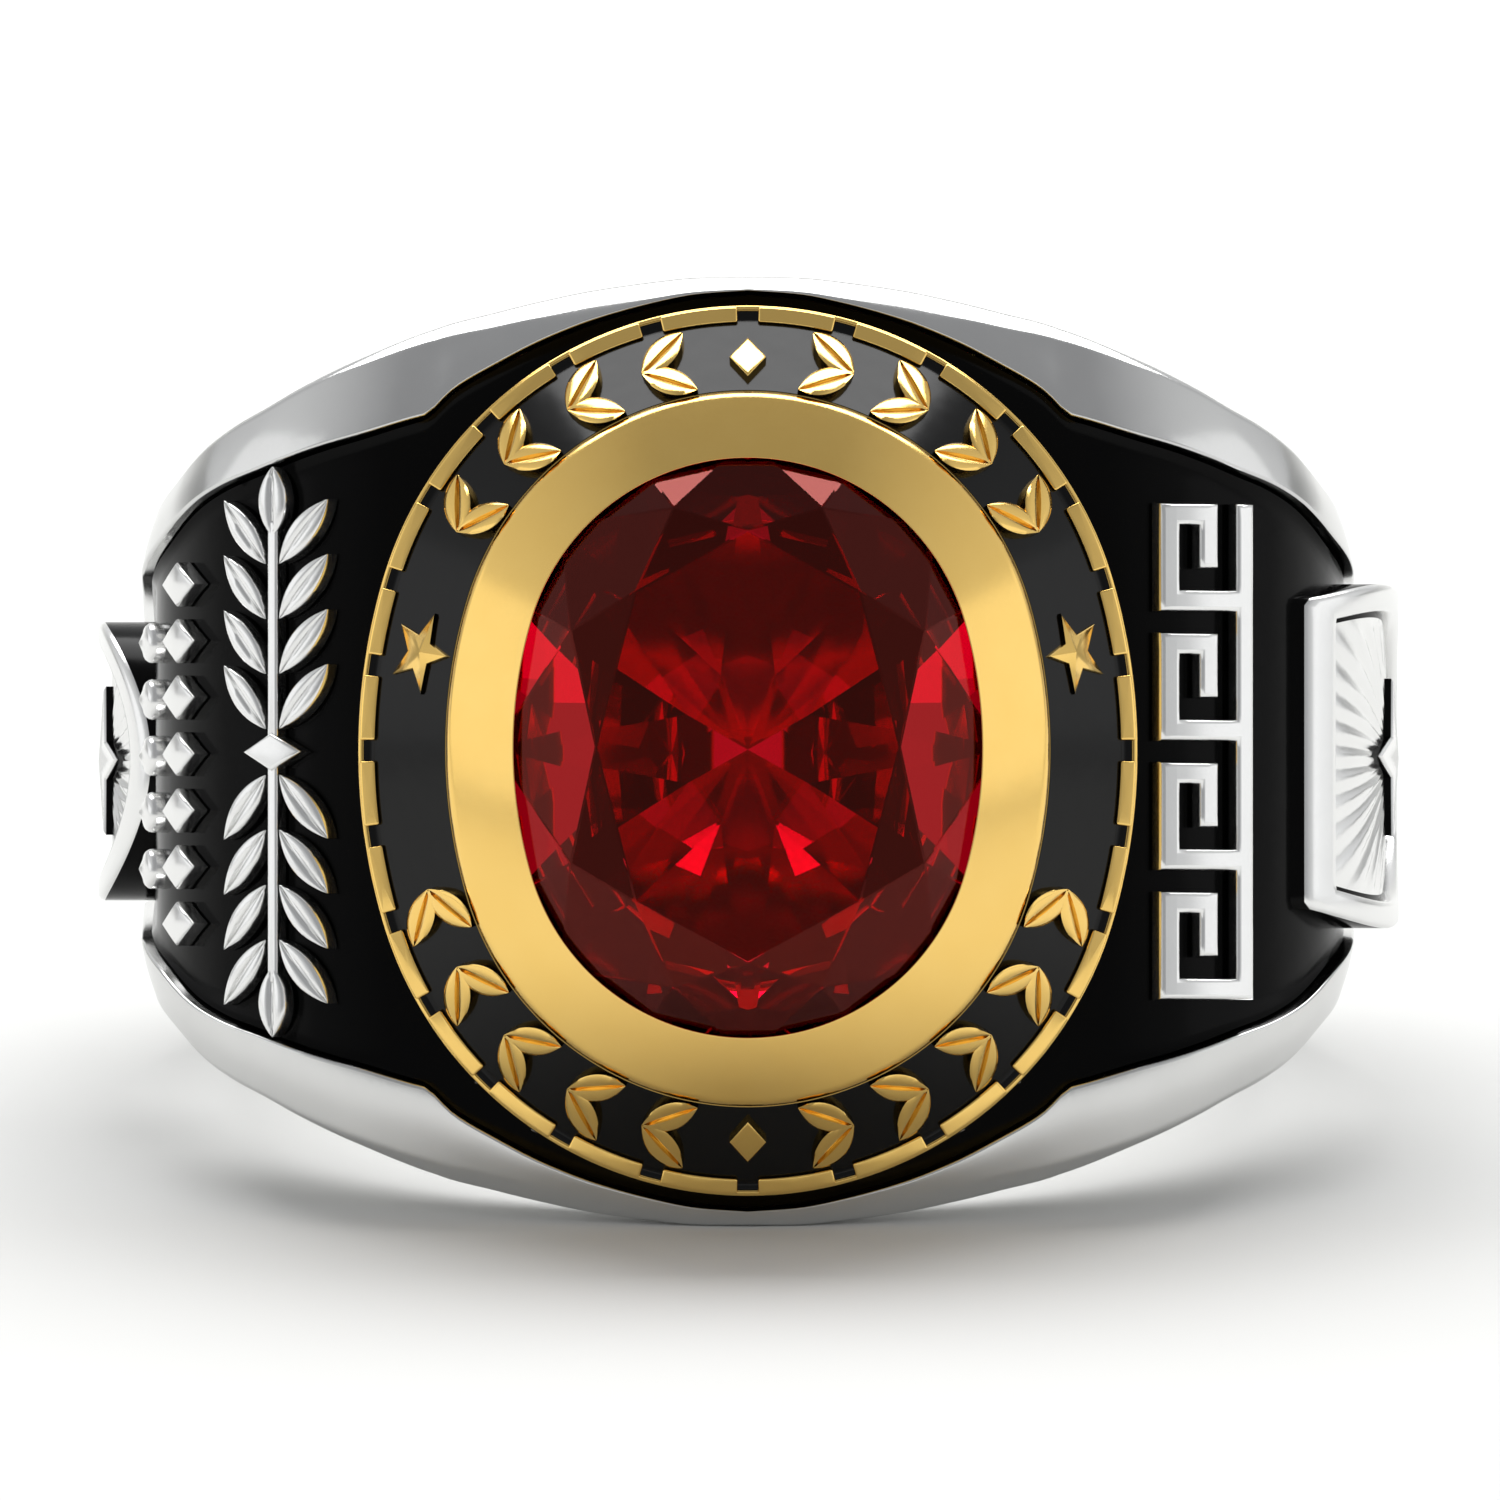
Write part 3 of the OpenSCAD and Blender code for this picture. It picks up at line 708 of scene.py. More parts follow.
def soften(corners: Points, radii: Sequence[float], steps: int = 3) -> list[Points]:
    """Rounds the corners of an open line, with the same number of points wherever it is used.

    Args:
        corners: the line's corners, one row each.
        radii: how far each corner is rounded.
        steps: number of points that a corner gets beside its ends.

    Returns:
        The rounded line's points.
    """
    line = [corners[0]]
    for k in range(1, len(corners) - 1):
        before, here, after = corners[k - 1], corners[k], corners[k + 1]
        la, lb = np.linalg.norm(before - here), np.linalg.norm(after - here)
        if radii[k] <= 0:
            line.append(here)
            continue
        # two corners of a short side never meet
        r = min(radii[k], 0.45 * la, 0.45 * lb)
        a = here + (before - here) * (r / max(la, 1e-9))
        b = here + (after - here) * (r / max(lb, 1e-9))
        for s in np.linspace(0, 1, steps + 2):
            line.append((1 - s) ** 2 * a + 2 * s * (1 - s) * here + s * s * b)
    line.append(corners[-1])
    return line


def spread(a: float, b: float, n: int) -> list[float]:
    """Even steps from one number to another.

    Args:
        a: the first number.
        b: the last number.
        n: how many there are, both counted.

    Returns:
        The numbers.
    """
    return [a + (b - a) * k / (n - 1) for k in range(n)]


def both_sides(half: Sequence[float]) -> list[tuple[float, int]]:
    """Runs places of the right half's outline on down the left half: (place, side)."""
    return [(t, 1) for t in half] + [(t, -1) for t in reversed(half[:-1])]


def farthest(inside: Callable[[float], bool], reach: float, rounds: int) -> float:
    """Finds how far a way stays inside something.

    Args:
        inside: says of a length along the way whether it is inside.
        reach: a length that is outside.
        rounds: how often the span is halved.

    Returns:
        The last length found inside.
    """
    lo, hi = 0.0, reach
    for _ in range(rounds):
        mid = (lo + hi) / 2
        if inside(mid):
            lo = mid
        else:
            hi = mid
    return lo


def rounded_wall(foot: float, black: float, top: float, edge: float) -> list[Flat]:
    """Side of a raised shape: its wall in two bands, and a rounded edge.

    Args:
        foot: height at which it starts.
        black: height of the black band's upper end.
        top: height of the shape's top.
        edge: width of the rounded edge.

    Returns:
        Points from the foot up, as how far they are drawn in, and their height.
    """
    wall = [(0.0, foot), (0.0, black), (0.0, top - edge)]
    return wall + [(edge * (1 - math.cos(a)), top - edge + edge * math.sin(a)) for a in EDGE_ROUND]


@dataclass
class ShankCasting:
    """The silver body: band, shoulders, rails round the panels and the lip round the crown."""

    silver: bpy.types.Material
    floor_steps: int = 9
    bore_steps: int = 9
    radii: tuple[float, ...] = (0, 0.03, 0.07, 0.3, 0.08, 0.1, 0.3, 0)
    well_head: float = 0.4
    well_deep: float = 0.7

    def stations(self) -> list[tuple[float, int]]:
        """Places round the outline, dense where it curves: (place, side)."""
        even = spread(0.006, 1, 84) + spread(1, 2, 20) + spread(2, 3, 64) + spread(3, 4, 40)
        turns = {PANEL_END - 0.004, PANEL_END, PANEL_END + 0.012, PANEL_CORNER}
        return both_sides(sorted({round(t, 5) for t in even} | turns))

    def half_line(self, t: float) -> list[Points]:
        """The right half of a station's section.

        Args:
            t: the station's place.

        Returns:
            Points from the middle of the floor, round the side, to the middle of the finger hole.
        """
        r = RING
        section = r.half_section(t)
        x, z = r.out_point(t)
        low = (r.bore_r - r.bore_cut) / math.hypot(x, z)
        inner_v = r.half_width(t) * table_at(SECTION, 3, t)
        points = [np.array([v, *r.out_point(t, d)]) for v, d in section]
        tip = points[-1]
        way = np.array([inner_v, x * low, z * low]) - tip
        # the side wall ends where it meets the finger hole
        mouth = tip + way * farthest(lambda m: math.hypot(*(tip + way * m)[1:]) > r.bore_r, 1.0, 40)
        centre = np.array([0.0, mouth[1], mouth[2]])
        line = [np.array([0.0, *r.out_point(t, section[0][1])])] + points + [mouth, centre]
        return soften(np.array(line), self.radii, 3)

    def build(self) -> bpy.types.Object:
        """Builds the casting's skin, with a well under the stone's point."""
        r = RING
        rows = []
        for t, side in self.stations():
            half = self.half_line(t)
            first, last = half[1], half[-2]
            floor = [half[0] + (first - half[0]) * s for s in spread(0, 1, self.floor_steps)]
            bore = [last + (half[-1] - last) * s for s in spread(0, 1, self.bore_steps)]
            line = floor + list(half[2:-2]) + bore
            ring = [(side * p[1], p[0], p[2]) for p in line]
            mirror = [(side * p[1], -p[0], p[2]) for p in reversed(line[1:-1])]
            rows.append(ring + mirror)
        skin = Skin()
        skin.grid(rows, closed=True, loop=True)
        for k, (x, y, z) in enumerate(skin.points):
            if math.hypot(x, y) < r.well_r and z > r.bore_r + self.well_head:
                skin.points[k] = (x, y, max(r.culet_z - r.stone_gap, z - self.well_deep))
        obj = skin.piece("shank_casting", [self.silver], 50)
        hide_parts("shank")
        return obj


@dataclass
class PanelEnamel:
    """Black enamel on the floor of both panels and of the groove round the crown."""

    enamel: bpy.types.Material
    creep: float = 0.07
    creep_width: float = 0.22
    tuck: float = 0.12
    deck_down: float = 0.3

    def build(self) -> bpy.types.Object:
        """Builds one sheet that creeps a little up the walls on both sides."""
        r = RING
        start = PANEL_END + r.fit / r.outer_r / (math.pi / 2)
        half = spread(start, 1, 40) + spread(1, 2, 20)[1:] + spread(2, 3, 64)[1:] + spread(3, 4, 40)[1:]
        low = r.fit - r.panel_depth
        top = low + r.enamel
        rows = []
        for t, side in both_sides(half):
            w = r.panel_half(t) - r.wall_lean - r.fit
            wall = [-w, -w + 0.03, -w + 0.1, -w + self.creep_width]
            row = [r.place(t, side, -w, low)]
            for v in wall + spread(-w + 0.4, w - 0.4, 41) + [-v for v in reversed(wall)]:
                near = max(0.0, 1 - (w - abs(v)) / self.creep_width)
                row.append(r.place(t, side, v, top + self.creep * near**2))
            row.append(r.place(t, side, w, low))
            rows.append(row)
        # the sheet ends a little way under the crown
        under, deck = r.channel_width - self.tuck, r.deck_z - self.deck_down
        skin = Skin()
        skin.grid(rows, keep=lambda p: p[2] < deck or r.oval_distance(p[0], p[1]) > under)
        obj = skin.piece("panel_enamel", [self.enamel], 60)
        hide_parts("enamel")
        return obj


@dataclass
class Shoulder:
    """Maps a flat motif onto a shoulder's sunk panel."""

    side: Side
    turn: float

    def __call__(self, x: float, y: float, z: float) -> Point:
        """Lays a point of the motif on the shoulder.

        Args:
            x: its place along the finger.
            y: its place towards the stone.
            z: how far it stands out of the panel's floor.

        Returns:
            The point in the ring's frame.
        """
        r = RING
        rad = r.panel_r + z
        out = math.sqrt(max(rad * rad - y * y, 0.0))
        c, s = math.cos(self.turn), math.sin(self.turn)
        return self.side.value * (r.corner_x + out * c - y * s), x, r.corner_z + out * s + y * c


@dataclass
class EmblemPlate:
    """Maps a flat motif onto an emblem's own face.

    The face is a round; in the shield's lower half it is level with the flank.
    """

    side: Side

    def centre(self) -> float:
        """Height of the emblem's middle in the ring's frame."""
        return RING.emblem_z if self.side is Side.RIGHT else RING.medal_z

    def __call__(self, x: float, y: float, z: float) -> Point:
        """Lays a point of the motif on the emblem.

        Args:
            x: its place along the finger.
            y: its place towards the stone.
            z: its height over the border's top; at the foot's depth or under it, the panel's floor.

        Returns:
            The point in the ring's frame.
        """
        r = RING
        drop = r.emblem_round - math.sqrt(r.emblem_round**2 - y * y)
        if self.side is Side.RIGHT and y < 0:
            drop = 0.0
        flat = r.outer_r - r.panel_depth
        face = flat + r.emblem_relief - drop
        h = self.centre() + y
        if z > -r.emblem_relief:
            return self.side.value * (face + z), x, h
        if h > r.corner_z:
            flat = r.corner_x + math.sqrt(max(r.panel_r**2 - (h - r.corner_z) ** 2, 0.0))
        elif h < 0:
            flat = math.sqrt(flat**2 - h * h)
        return self.side.value * (flat - FOOT), x, h


Mapping = Callable[[float, float, float], Point]
Outline = Callable[[float], list[Flat]]


@dataclass
class Motif:
    """A raised shape that is drawn flat and laid on a surface: silver on top, black down its walls."""

    skin: Skin
    lay: Mapping
    at: Flat = (0.0, 0.0)
    turn: float = 0.0

    def put(self, x: float, y: float, z: float) -> int:
        """Adds a point of the motif's own flat frame.

        Args:
            x: its place to the right.
            y: its place upwards.
            z: its height out of the surface.

        Returns:
            Its number in the skin.
        """
        c, s = math.cos(self.turn), math.sin(self.turn)
        return self.skin.add(self.lay(self.at[0] + x * c - y * s, self.at[1] + x * s + y * c, z))

    def rings(self, rings: Sequence[Sequence[Point]], wall_rings: int, peak: Optional[Point]) -> None:
        """Joins rings of points from the foot of the wall to the top.

        Args:
            rings: closed rings of equal length.
            wall_rings: how many bands from the foot up are black wall.
            peak: the point that closes the top, or None for an open shape.
        """
        numbers = [[self.put(*p) for p in ring] for ring in rings]
        n = len(numbers[0])
        for j, (low, high) in enumerate(zip(numbers, numbers[1:])):
            for i in range(n):
                k = (i + 1) % n
                self.skin.face((low[i], low[k], high[k], high[i]), int(j < wall_rings))
        if peak is not None:
            c = self.put(*peak)
            for i in range(n):
                self.skin.face((numbers[-1][i], numbers[-1][(i + 1) % n], c), 0)

    def leaf(
        self, length: float, width: float, height: float, foot: float = 0.0, vein: float = 0.07
    ) -> None:
        """A pointed leaf with a domed blade and a sunk midrib.

        Args:
            length: from tip to tip.
            width: across the middle.
            height: of the blade over the foot's surface.
            foot: height at which the walls start.
            vein: depth of the midrib.
        """
        rad = (length**2 + width**2) / (4 * width)
        # the blade's section: [share of its half width there, height]
        across = [(-1, foot), (-1, foot + BLACKENED * (height - foot)), (-1, height - 0.1)]
        across += [(-0.93, height - 0.035), (-0.78, height - 0.004), (-0.45, height)]
        across += [(-0.2, height - 0.01), (-0.06, height - vein)]
        across += [(-q, z) for q, z in reversed(across)]
        rows = []
        for s in [math.sin(math.radians(a)) for a in range(-90, 91, 10)]:
            # the last row stops just short of the tip, where the blade would have no width
            x = s * length / 2 * 0.995
            half = max(math.sqrt(max(rad * rad - x * x, 0.0)) - rad + width / 2, 0.004)
            # the tips lie a little lower than the middle
            sag = 0.12 * height * s * s
            rows.append([(x, q * half, z - (sag if z > foot else 0)) for q, z in across])
        numbers = [[self.put(*p) for p in row] for row in rows]
        for here, there in zip(numbers, numbers[1:]):
            for i in range(len(across) - 1):
                black = i == 0 or i == len(across) - 2
                self.skin.face((here[i], there[i], there[i + 1], here[i + 1]), int(black))

    def plate(
        self,
        outline: Outline,
        height: float,
        foot: float = 0.0,
        edge: float = 0.1,
        peak: Optional[float] = None,
    ) -> None:
        """A raised plate with a rounded edge.

        Args:
            outline: gives the outline drawn in by an amount, always with as many points.
            height: of the top.
            foot: height at which the walls start.
            edge: width of the rounded edge.
            peak: height of the middle, or None for a flat top.
        """
        black = foot + BLACKENED * (height - edge - foot)
        profile = rounded_wall(foot, black, height, edge)
        rings = [[(x, y, z) for x, y in outline(inset)] for inset, z in profile]
        middle = np.mean(np.array(rings[-1]), axis=0)
        self.rings(rings, 1, (middle[0], middle[1], height if peak is None else peak))


def regular(n: int, radius: Callable[[int], float], start: float = 90.0) -> list[Flat]:
    """Points round a middle.

    Args:
        n: how many.
        radius: each point's distance from the middle, by its number.
        start: the first one's direction in degrees.

    Returns:
        The points.
    """
    out = []
    for k in range(n):
        a = math.radians(start + 360 * k / n)
        out.append((radius(k) * math.cos(a), radius(k) * math.sin(a)))
    return out


def star_corners(size: float) -> list[Flat]:
    """Corners of a five-pointed star whose points reach that far."""
    return regular(10, lambda k: size if k % 2 == 0 else size * STAR_IN)


def diamond_outline(w: float, h: float) -> Outline:
    """Outline of a diamond, drawn in square to its sides."""

    def outline(inset: float) -> list[Flat]:
        """The diamond's corners and the middles of its sides."""
        k = 1 - inset * math.hypot(w, h) / (w * h) * 2
        c = [(w / 2 * k, 0), (0, h / 2 * k), (-w / 2 * k, 0), (0, -h / 2 * k)]
        return [p for a, b in zip(c, c[1:] + c[:1]) for p in (a, ((a[0] + b[0]) / 2, (a[1] + b[1]) / 2))]

    return outline


def round_outline(radius: float, n: int = 24) -> Outline:
    """Outline of a round stud, drawn in."""
    return lambda inset: regular(n, lambda k: radius - inset)


def corner_outline(corners: Sequence[Flat], step: float = 0.12) -> Outline:
    """Outline of a shape with square corners, drawn in by its mitres.

    Args:
        corners: its corners, against the clock.
        step: distance between the points along its sides.

    Returns:
        The outline by how far it is drawn in.
    """

    def outline(inset: float) -> list[Flat]:
        """Moves each corner square to both of its sides, then fills the sides with points."""
        n = len(corners)
        moved = []
        for k in range(n):
            a, b, c = (np.array(corners[(k + d) % n]) for d in (-1, 0, 1))
            u, v = (b - a) / np.linalg.norm(b - a), (c - b) / np.linalg.norm(c - b)
            nu, nv = np.array([-u[1], u[0]]), np.array([-v[1], v[0]])
            moved.append(b + inset * (nu + nv) if abs(np.dot(u, v)) < 0.5 else b + inset * nu)
        out = []
        for k in range(n):
            a, b = moved[k], moved[(k + 1) % n]
            long = float(np.linalg.norm(np.array(corners[k]) - np.array(corners[(k + 1) % n])))
            m = max(1, round(long / step))
            out += [tuple(a + (b - a) * i / m) for i in range(m)]
        return out

    return outline


@dataclass
class LeafPanel:
    """The left shoulder's three rows: two sprigs that meet in the middle, diamonds, and beads."""

    silver: bpy.types.Material
    enamel: bpy.types.Material
    leaf_turn: float = 40.0
    leaf_size: Flat = (0.6, 0.2)
    tip_size: Flat = (0.5, 0.24)
    diamond_row: float = 30.0
    bead_row: float = 12.0

    def sprig(self, skin: Skin, lay: Mapping, s: int) -> None:
        """Adds one sprig: its pairs of leaves, the leaf at its tip, and its stem.

        Args:
            skin: where its faces go.
            lay: the shoulder's mapping.
            s: 1 or -1, for the way that it runs along the finger.
        """
        r = RING
        tall = r.sprig_height
        for k in range(1, r.sprig_pairs + 1):
            for q in (1, -1):
                at = (s * k * r.sprig_pitch, q * tall * 0.25)
                turn = math.radians(s * q * self.leaf_turn)
                Motif(skin, lay, at, turn).leaf(*(tall * share for share in self.leaf_size), r.relief)
        tip = (s * (r.sprig_pairs + 0.55) * r.sprig_pitch, 0)
        Motif(skin, lay, tip).leaf(*(tall * share for share in self.tip_size), r.relief)
        x0, x1 = sorted((s * 0.1, s * (r.sprig_pairs + 0.2) * r.sprig_pitch))
        w = r.sprig_stem / 2
        stem = corner_outline([(x0, -w), (x1, -w), (x1, w), (x0, w)])
        Motif(skin, lay).plate(stem, r.relief - 0.06, edge=0.05)

    def build(self) -> bpy.types.Object:
        """Builds all three rows as one piece."""
        r = RING
        skin = Skin()
        lay = Shoulder(Side.LEFT, r.sprig_turn)
        for s in (1, -1):
            self.sprig(skin, lay, s)
        middle = diamond_outline(r.sprig_pitch * 0.7, r.sprig_height * 0.5)
        Motif(skin, lay).plate(middle, r.relief, edge=0.07)
        lay = Shoulder(Side.LEFT, math.radians(self.diamond_row))
        diamond = diamond_outline(r.row_pitch * 0.78, r.row_height)
        for k in range(-3, 4):
            row = Motif(skin, lay, (k * r.row_pitch, 0))
            row.plate(diamond, r.relief - 0.06, edge=0.07, peak=r.relief)
        lay = Shoulder(Side.LEFT, math.radians(self.bead_row))
        bead = round_outline(r.row_pitch * 0.36)
        for k in range(-2, 3):
            row = Motif(skin, lay, (k * r.row_pitch, 0))
            row.plate(bead, r.relief - 0.1, edge=0.16, peak=r.relief)
        return skin.piece("leaf_panel_relief", [self.silver, self.enamel], 55)


@dataclass
class KeyPanel:
    """The right shoulder's relief: a running key on a base line."""

    silver: bpy.types.Material
    enamel: bpy.types.Material
    edge: float = 0.09
    step: float = 0.2

    def corners(self) -> list[Flat]:
        """The whole pattern's outline, against the clock from its lower left corner."""
        r = RING
        # a key is five cells wide and tall, and the next one starts a cell further on
        c = r.key_height / 5
        last = 6 * (r.key_count - 1)
        key = [(1, 1), (1, 4), (4, 4), (4, 3), (2, 3), (2, 2), (5, 2), (5, 5), (0, 5)]
        cells: list[Flat] = [(0, 0), (last + 5, 0), (last + 5, 1)]
        for k in reversed(range(r.key_count)):
            x = 6 * k
            if k < r.key_count - 1:
                cells += [(x + 6, 1)]
            cells += [(x + across, up) for across, up in key]
            if k > 0:
                cells += [(x, 1)]
        out = []
        for x, y in cells:
            if not out or out[-1] != (x, y):
                out.append((x, y))
        return [(c * (x - (last + 5) / 2), c * (y - 2.5)) for x, y in out]

    def build(self) -> bpy.types.Object:
        """Builds the pattern: its outline is raised, and its top is filled strip by strip."""
        r = RING
        skin = Skin()
        lay = Shoulder(Side.RIGHT, r.key_turn)
        outline = corner_outline(self.corners(), self.step)
        profile = rounded_wall(0.0, BLACKENED * r.relief, r.relief, self.edge)
        rings = [[(x, y, z) for x, y in outline(inset)] for inset, z in profile]
        Motif(skin, lay).rings(rings, 1, None)
        c = r.key_height / 5
        x0, y0 = -(6 * r.key_count - 1) * c / 2, -r.key_height / 2
        bars = []
        for k in range(r.key_count):
            x = 6 * k
            bars += [(x, 1, x + 1, 4), (x, 4, x + 5, 5), (x + 4, 2, x + 5, 4), (x + 2, 2, x + 4, 3)]
        bars.append((0, 0, 6 * r.key_count - 1, 1))
        for bar in bars:
            self.top(skin, lay, bar, (x0, y0, c))
        return skin.piece("key_panel_relief", [self.silver, self.enamel], 55)

    def top(self, skin: Skin, lay: Mapping, bar: Sequence[float], origin: Point) -> None:
        """Fills the top of one bar, drawn in where the bar's side is open.

        Args:
            skin: where the faces go.
            lay: the shoulder's mapping.
            bar: left, lower, right and upper side in cells.
            origin: the pattern's lower left corner and the cell's size.
        """
        r = RING
        x0, y0, x1, y1 = bar
        ox, oy, c = origin
        edge = self.edge
        upright = y1 - y0 > x1 - x0
        # a bar runs on into the bar that it meets, and is drawn in at its free sides
        left = ox + c * x0 + (edge if upright or x0 % 6 in (0, 2) else -edge)
        right = ox + c * x1 - (edge if upright or x1 % 6 == 5 else -edge)
        low = oy + c * y0 + (-edge if upright and y0 == 1 else edge)
        high = oy + c * y1 - (-edge if upright else edge)
        wide, tall = right - left, high - low
        nx, ny = max(2, round(wide / self.step)), max(2, round(tall / 0.15))
        skin.grid(
            [
                [lay(left + wide * i / nx, low + tall * j / ny, r.relief) for i in range(nx + 1)]
                for j in range(ny + 1)
            ]
        )


@dataclass
class Emblem:
    """A raised emblem with a border, a sunk field, rays and a star: a shield, or a round medal."""

    silver: bpy.types.Material
    enamel: bpy.types.Material
    side: Side
    rays: int = 36
    ray_height: float = 0.035
    dome: float = 0.04
    sill: float = 0.12
    groove: float = 0.12
    shield_star: float = 0.24
    medal_star: float = 0.28

    def inside(self, x: float, y: float, inset: float) -> bool:
        """Whether a point lies in the emblem's outline.

        Args:
            x: its place along the finger, from the emblem's middle.
            y: its place towards the stone.
            inset: how far the outline is drawn in.

        Returns:
            True inside.
        """
        r = RING
        if self.side is Side.LEFT:
            return math.hypot(x, y) < r.medal_d / 2 - inset
        w, h = r.emblem_width / 2 - inset, r.emblem_height
        if abs(x) > w or abs(y) > h / 2 - inset:
            return False
        # the shield's sides are round
        flank = 1.05 * h
        return math.hypot(abs(x) - w + flank, y - 0.18 * h) < flank

    def outline(self, inset: float, n: int = 180) -> list[Flat]:
        """Points of the outline, each in its own direction from the middle.

        Args:
            inset: how far the outline is drawn in.
            n: number of points.

        Returns:
            The points.
        """
        out = []
        for k in range(n):
            a = 2 * math.pi * (k + 0.5) / n
            c, s = math.cos(a), math.sin(a)
            far = farthest(lambda m: self.inside(m * c, m * s, inset), 6.0, 24)
            out.append((far * c, far * s))
        return out

    def build(self) -> bpy.types.Object:
        """Builds the wall, the border, the field with its rays, and the star."""
        r = RING
        skin = Skin()
        lay = EmblemPlate(self.side)
        b, deep = r.emblem_border, r.emblem_field
        # the border's section: [how far it is drawn in, height]
        edge = [(0, -self.sill), (0.03, -0.05), (0.08, -0.01), (0.15, 0)]
        profile = [(0, -r.emblem_relief)] + edge + [(b - v, z) for v, z in reversed(edge)] + [(b, -deep)]
        border = Motif(skin, lay)
        border.rings([[(x, y, z) for x, y in self.outline(v)] for v, z in profile], 1, None)
        inner = self.outline(b + self.groove)
        sunk = [[(x, y, -deep) for x, y in line] for line in (self.outline(b), inner)]
        Motif(skin, lay).rings(sunk, 1, None)
        Motif(skin, lay).rings(self.field(inner, deep), 0, (0, 0, -deep + self.dome))
        size, name = r.medal_d * self.medal_star, "medal_emblem"
        if self.side is Side.RIGHT:
            size, name = r.emblem_width * self.shield_star, "shield_emblem"
        self.star(skin, lay, size, deep)
        return skin.piece(name, [self.silver, self.enamel], 40)

    def field(self, inner: Sequence[Flat], deep: float) -> list[list[Point]]:
        """The emblem's slightly domed field with its rays.

        Args:
            inner: the field's outline.
            deep: how far it lies under the border's top.

        Returns:
            Closed rings, from the outline in.
        """
        rings = []
        for s in [1.0, 0.97, 0.9, 0.8, 0.7, 0.6, 0.5, 0.4, 0.3, 0.2, 0.1]:
            fade = min(1.0, (1 - s) * 8) * min(1.0, s * 2)
            ring = []
            for k, (x, y) in enumerate(inner):
                ray = self.ray_height * math.cos(2 * math.pi * k / len(inner) * self.rays) * fade
                ring.append((x * s, y * s, -deep + self.dome * (1 - s * s) + ray))
            rings.append(ring)
        return rings

    def star(self, skin: Skin, lay: Mapping, size: float, deep: float) -> None:
        """Adds a five-pointed star with a ridge along each ray.

        Args:
            skin: where its faces go.
            lay: the emblem's mapping.
            size: how far its points reach.
            deep: how far the field lies under the border's top.
        """
        corners = star_corners(size)
        foot = [(x, y, -deep - FOOT) for x, y in corners]
        edge = [(x, y, -self.sill) for x, y in corners]
        rim = [(x * 0.94, y * 0.94, -0.07) for x, y in corners]
        Motif(skin, lay).rings([foot, edge, rim], 1, (0, 0, 0.0))


def sweep_oval(skin: Skin, profile: Sequence[Points]) -> None:
    """Runs a section round the crown's oval.

    Args:
        skin: where its faces go.
        profile: the section, as how far outside the bezel's edge, and height.
    """
    turns = [2 * math.pi * k / OVAL_STATIONS for k in range(OVAL_STATIONS)]
    skin.grid([[(*RING.oval(e, a), z) for e, z in profile] for a in turns], closed=True)


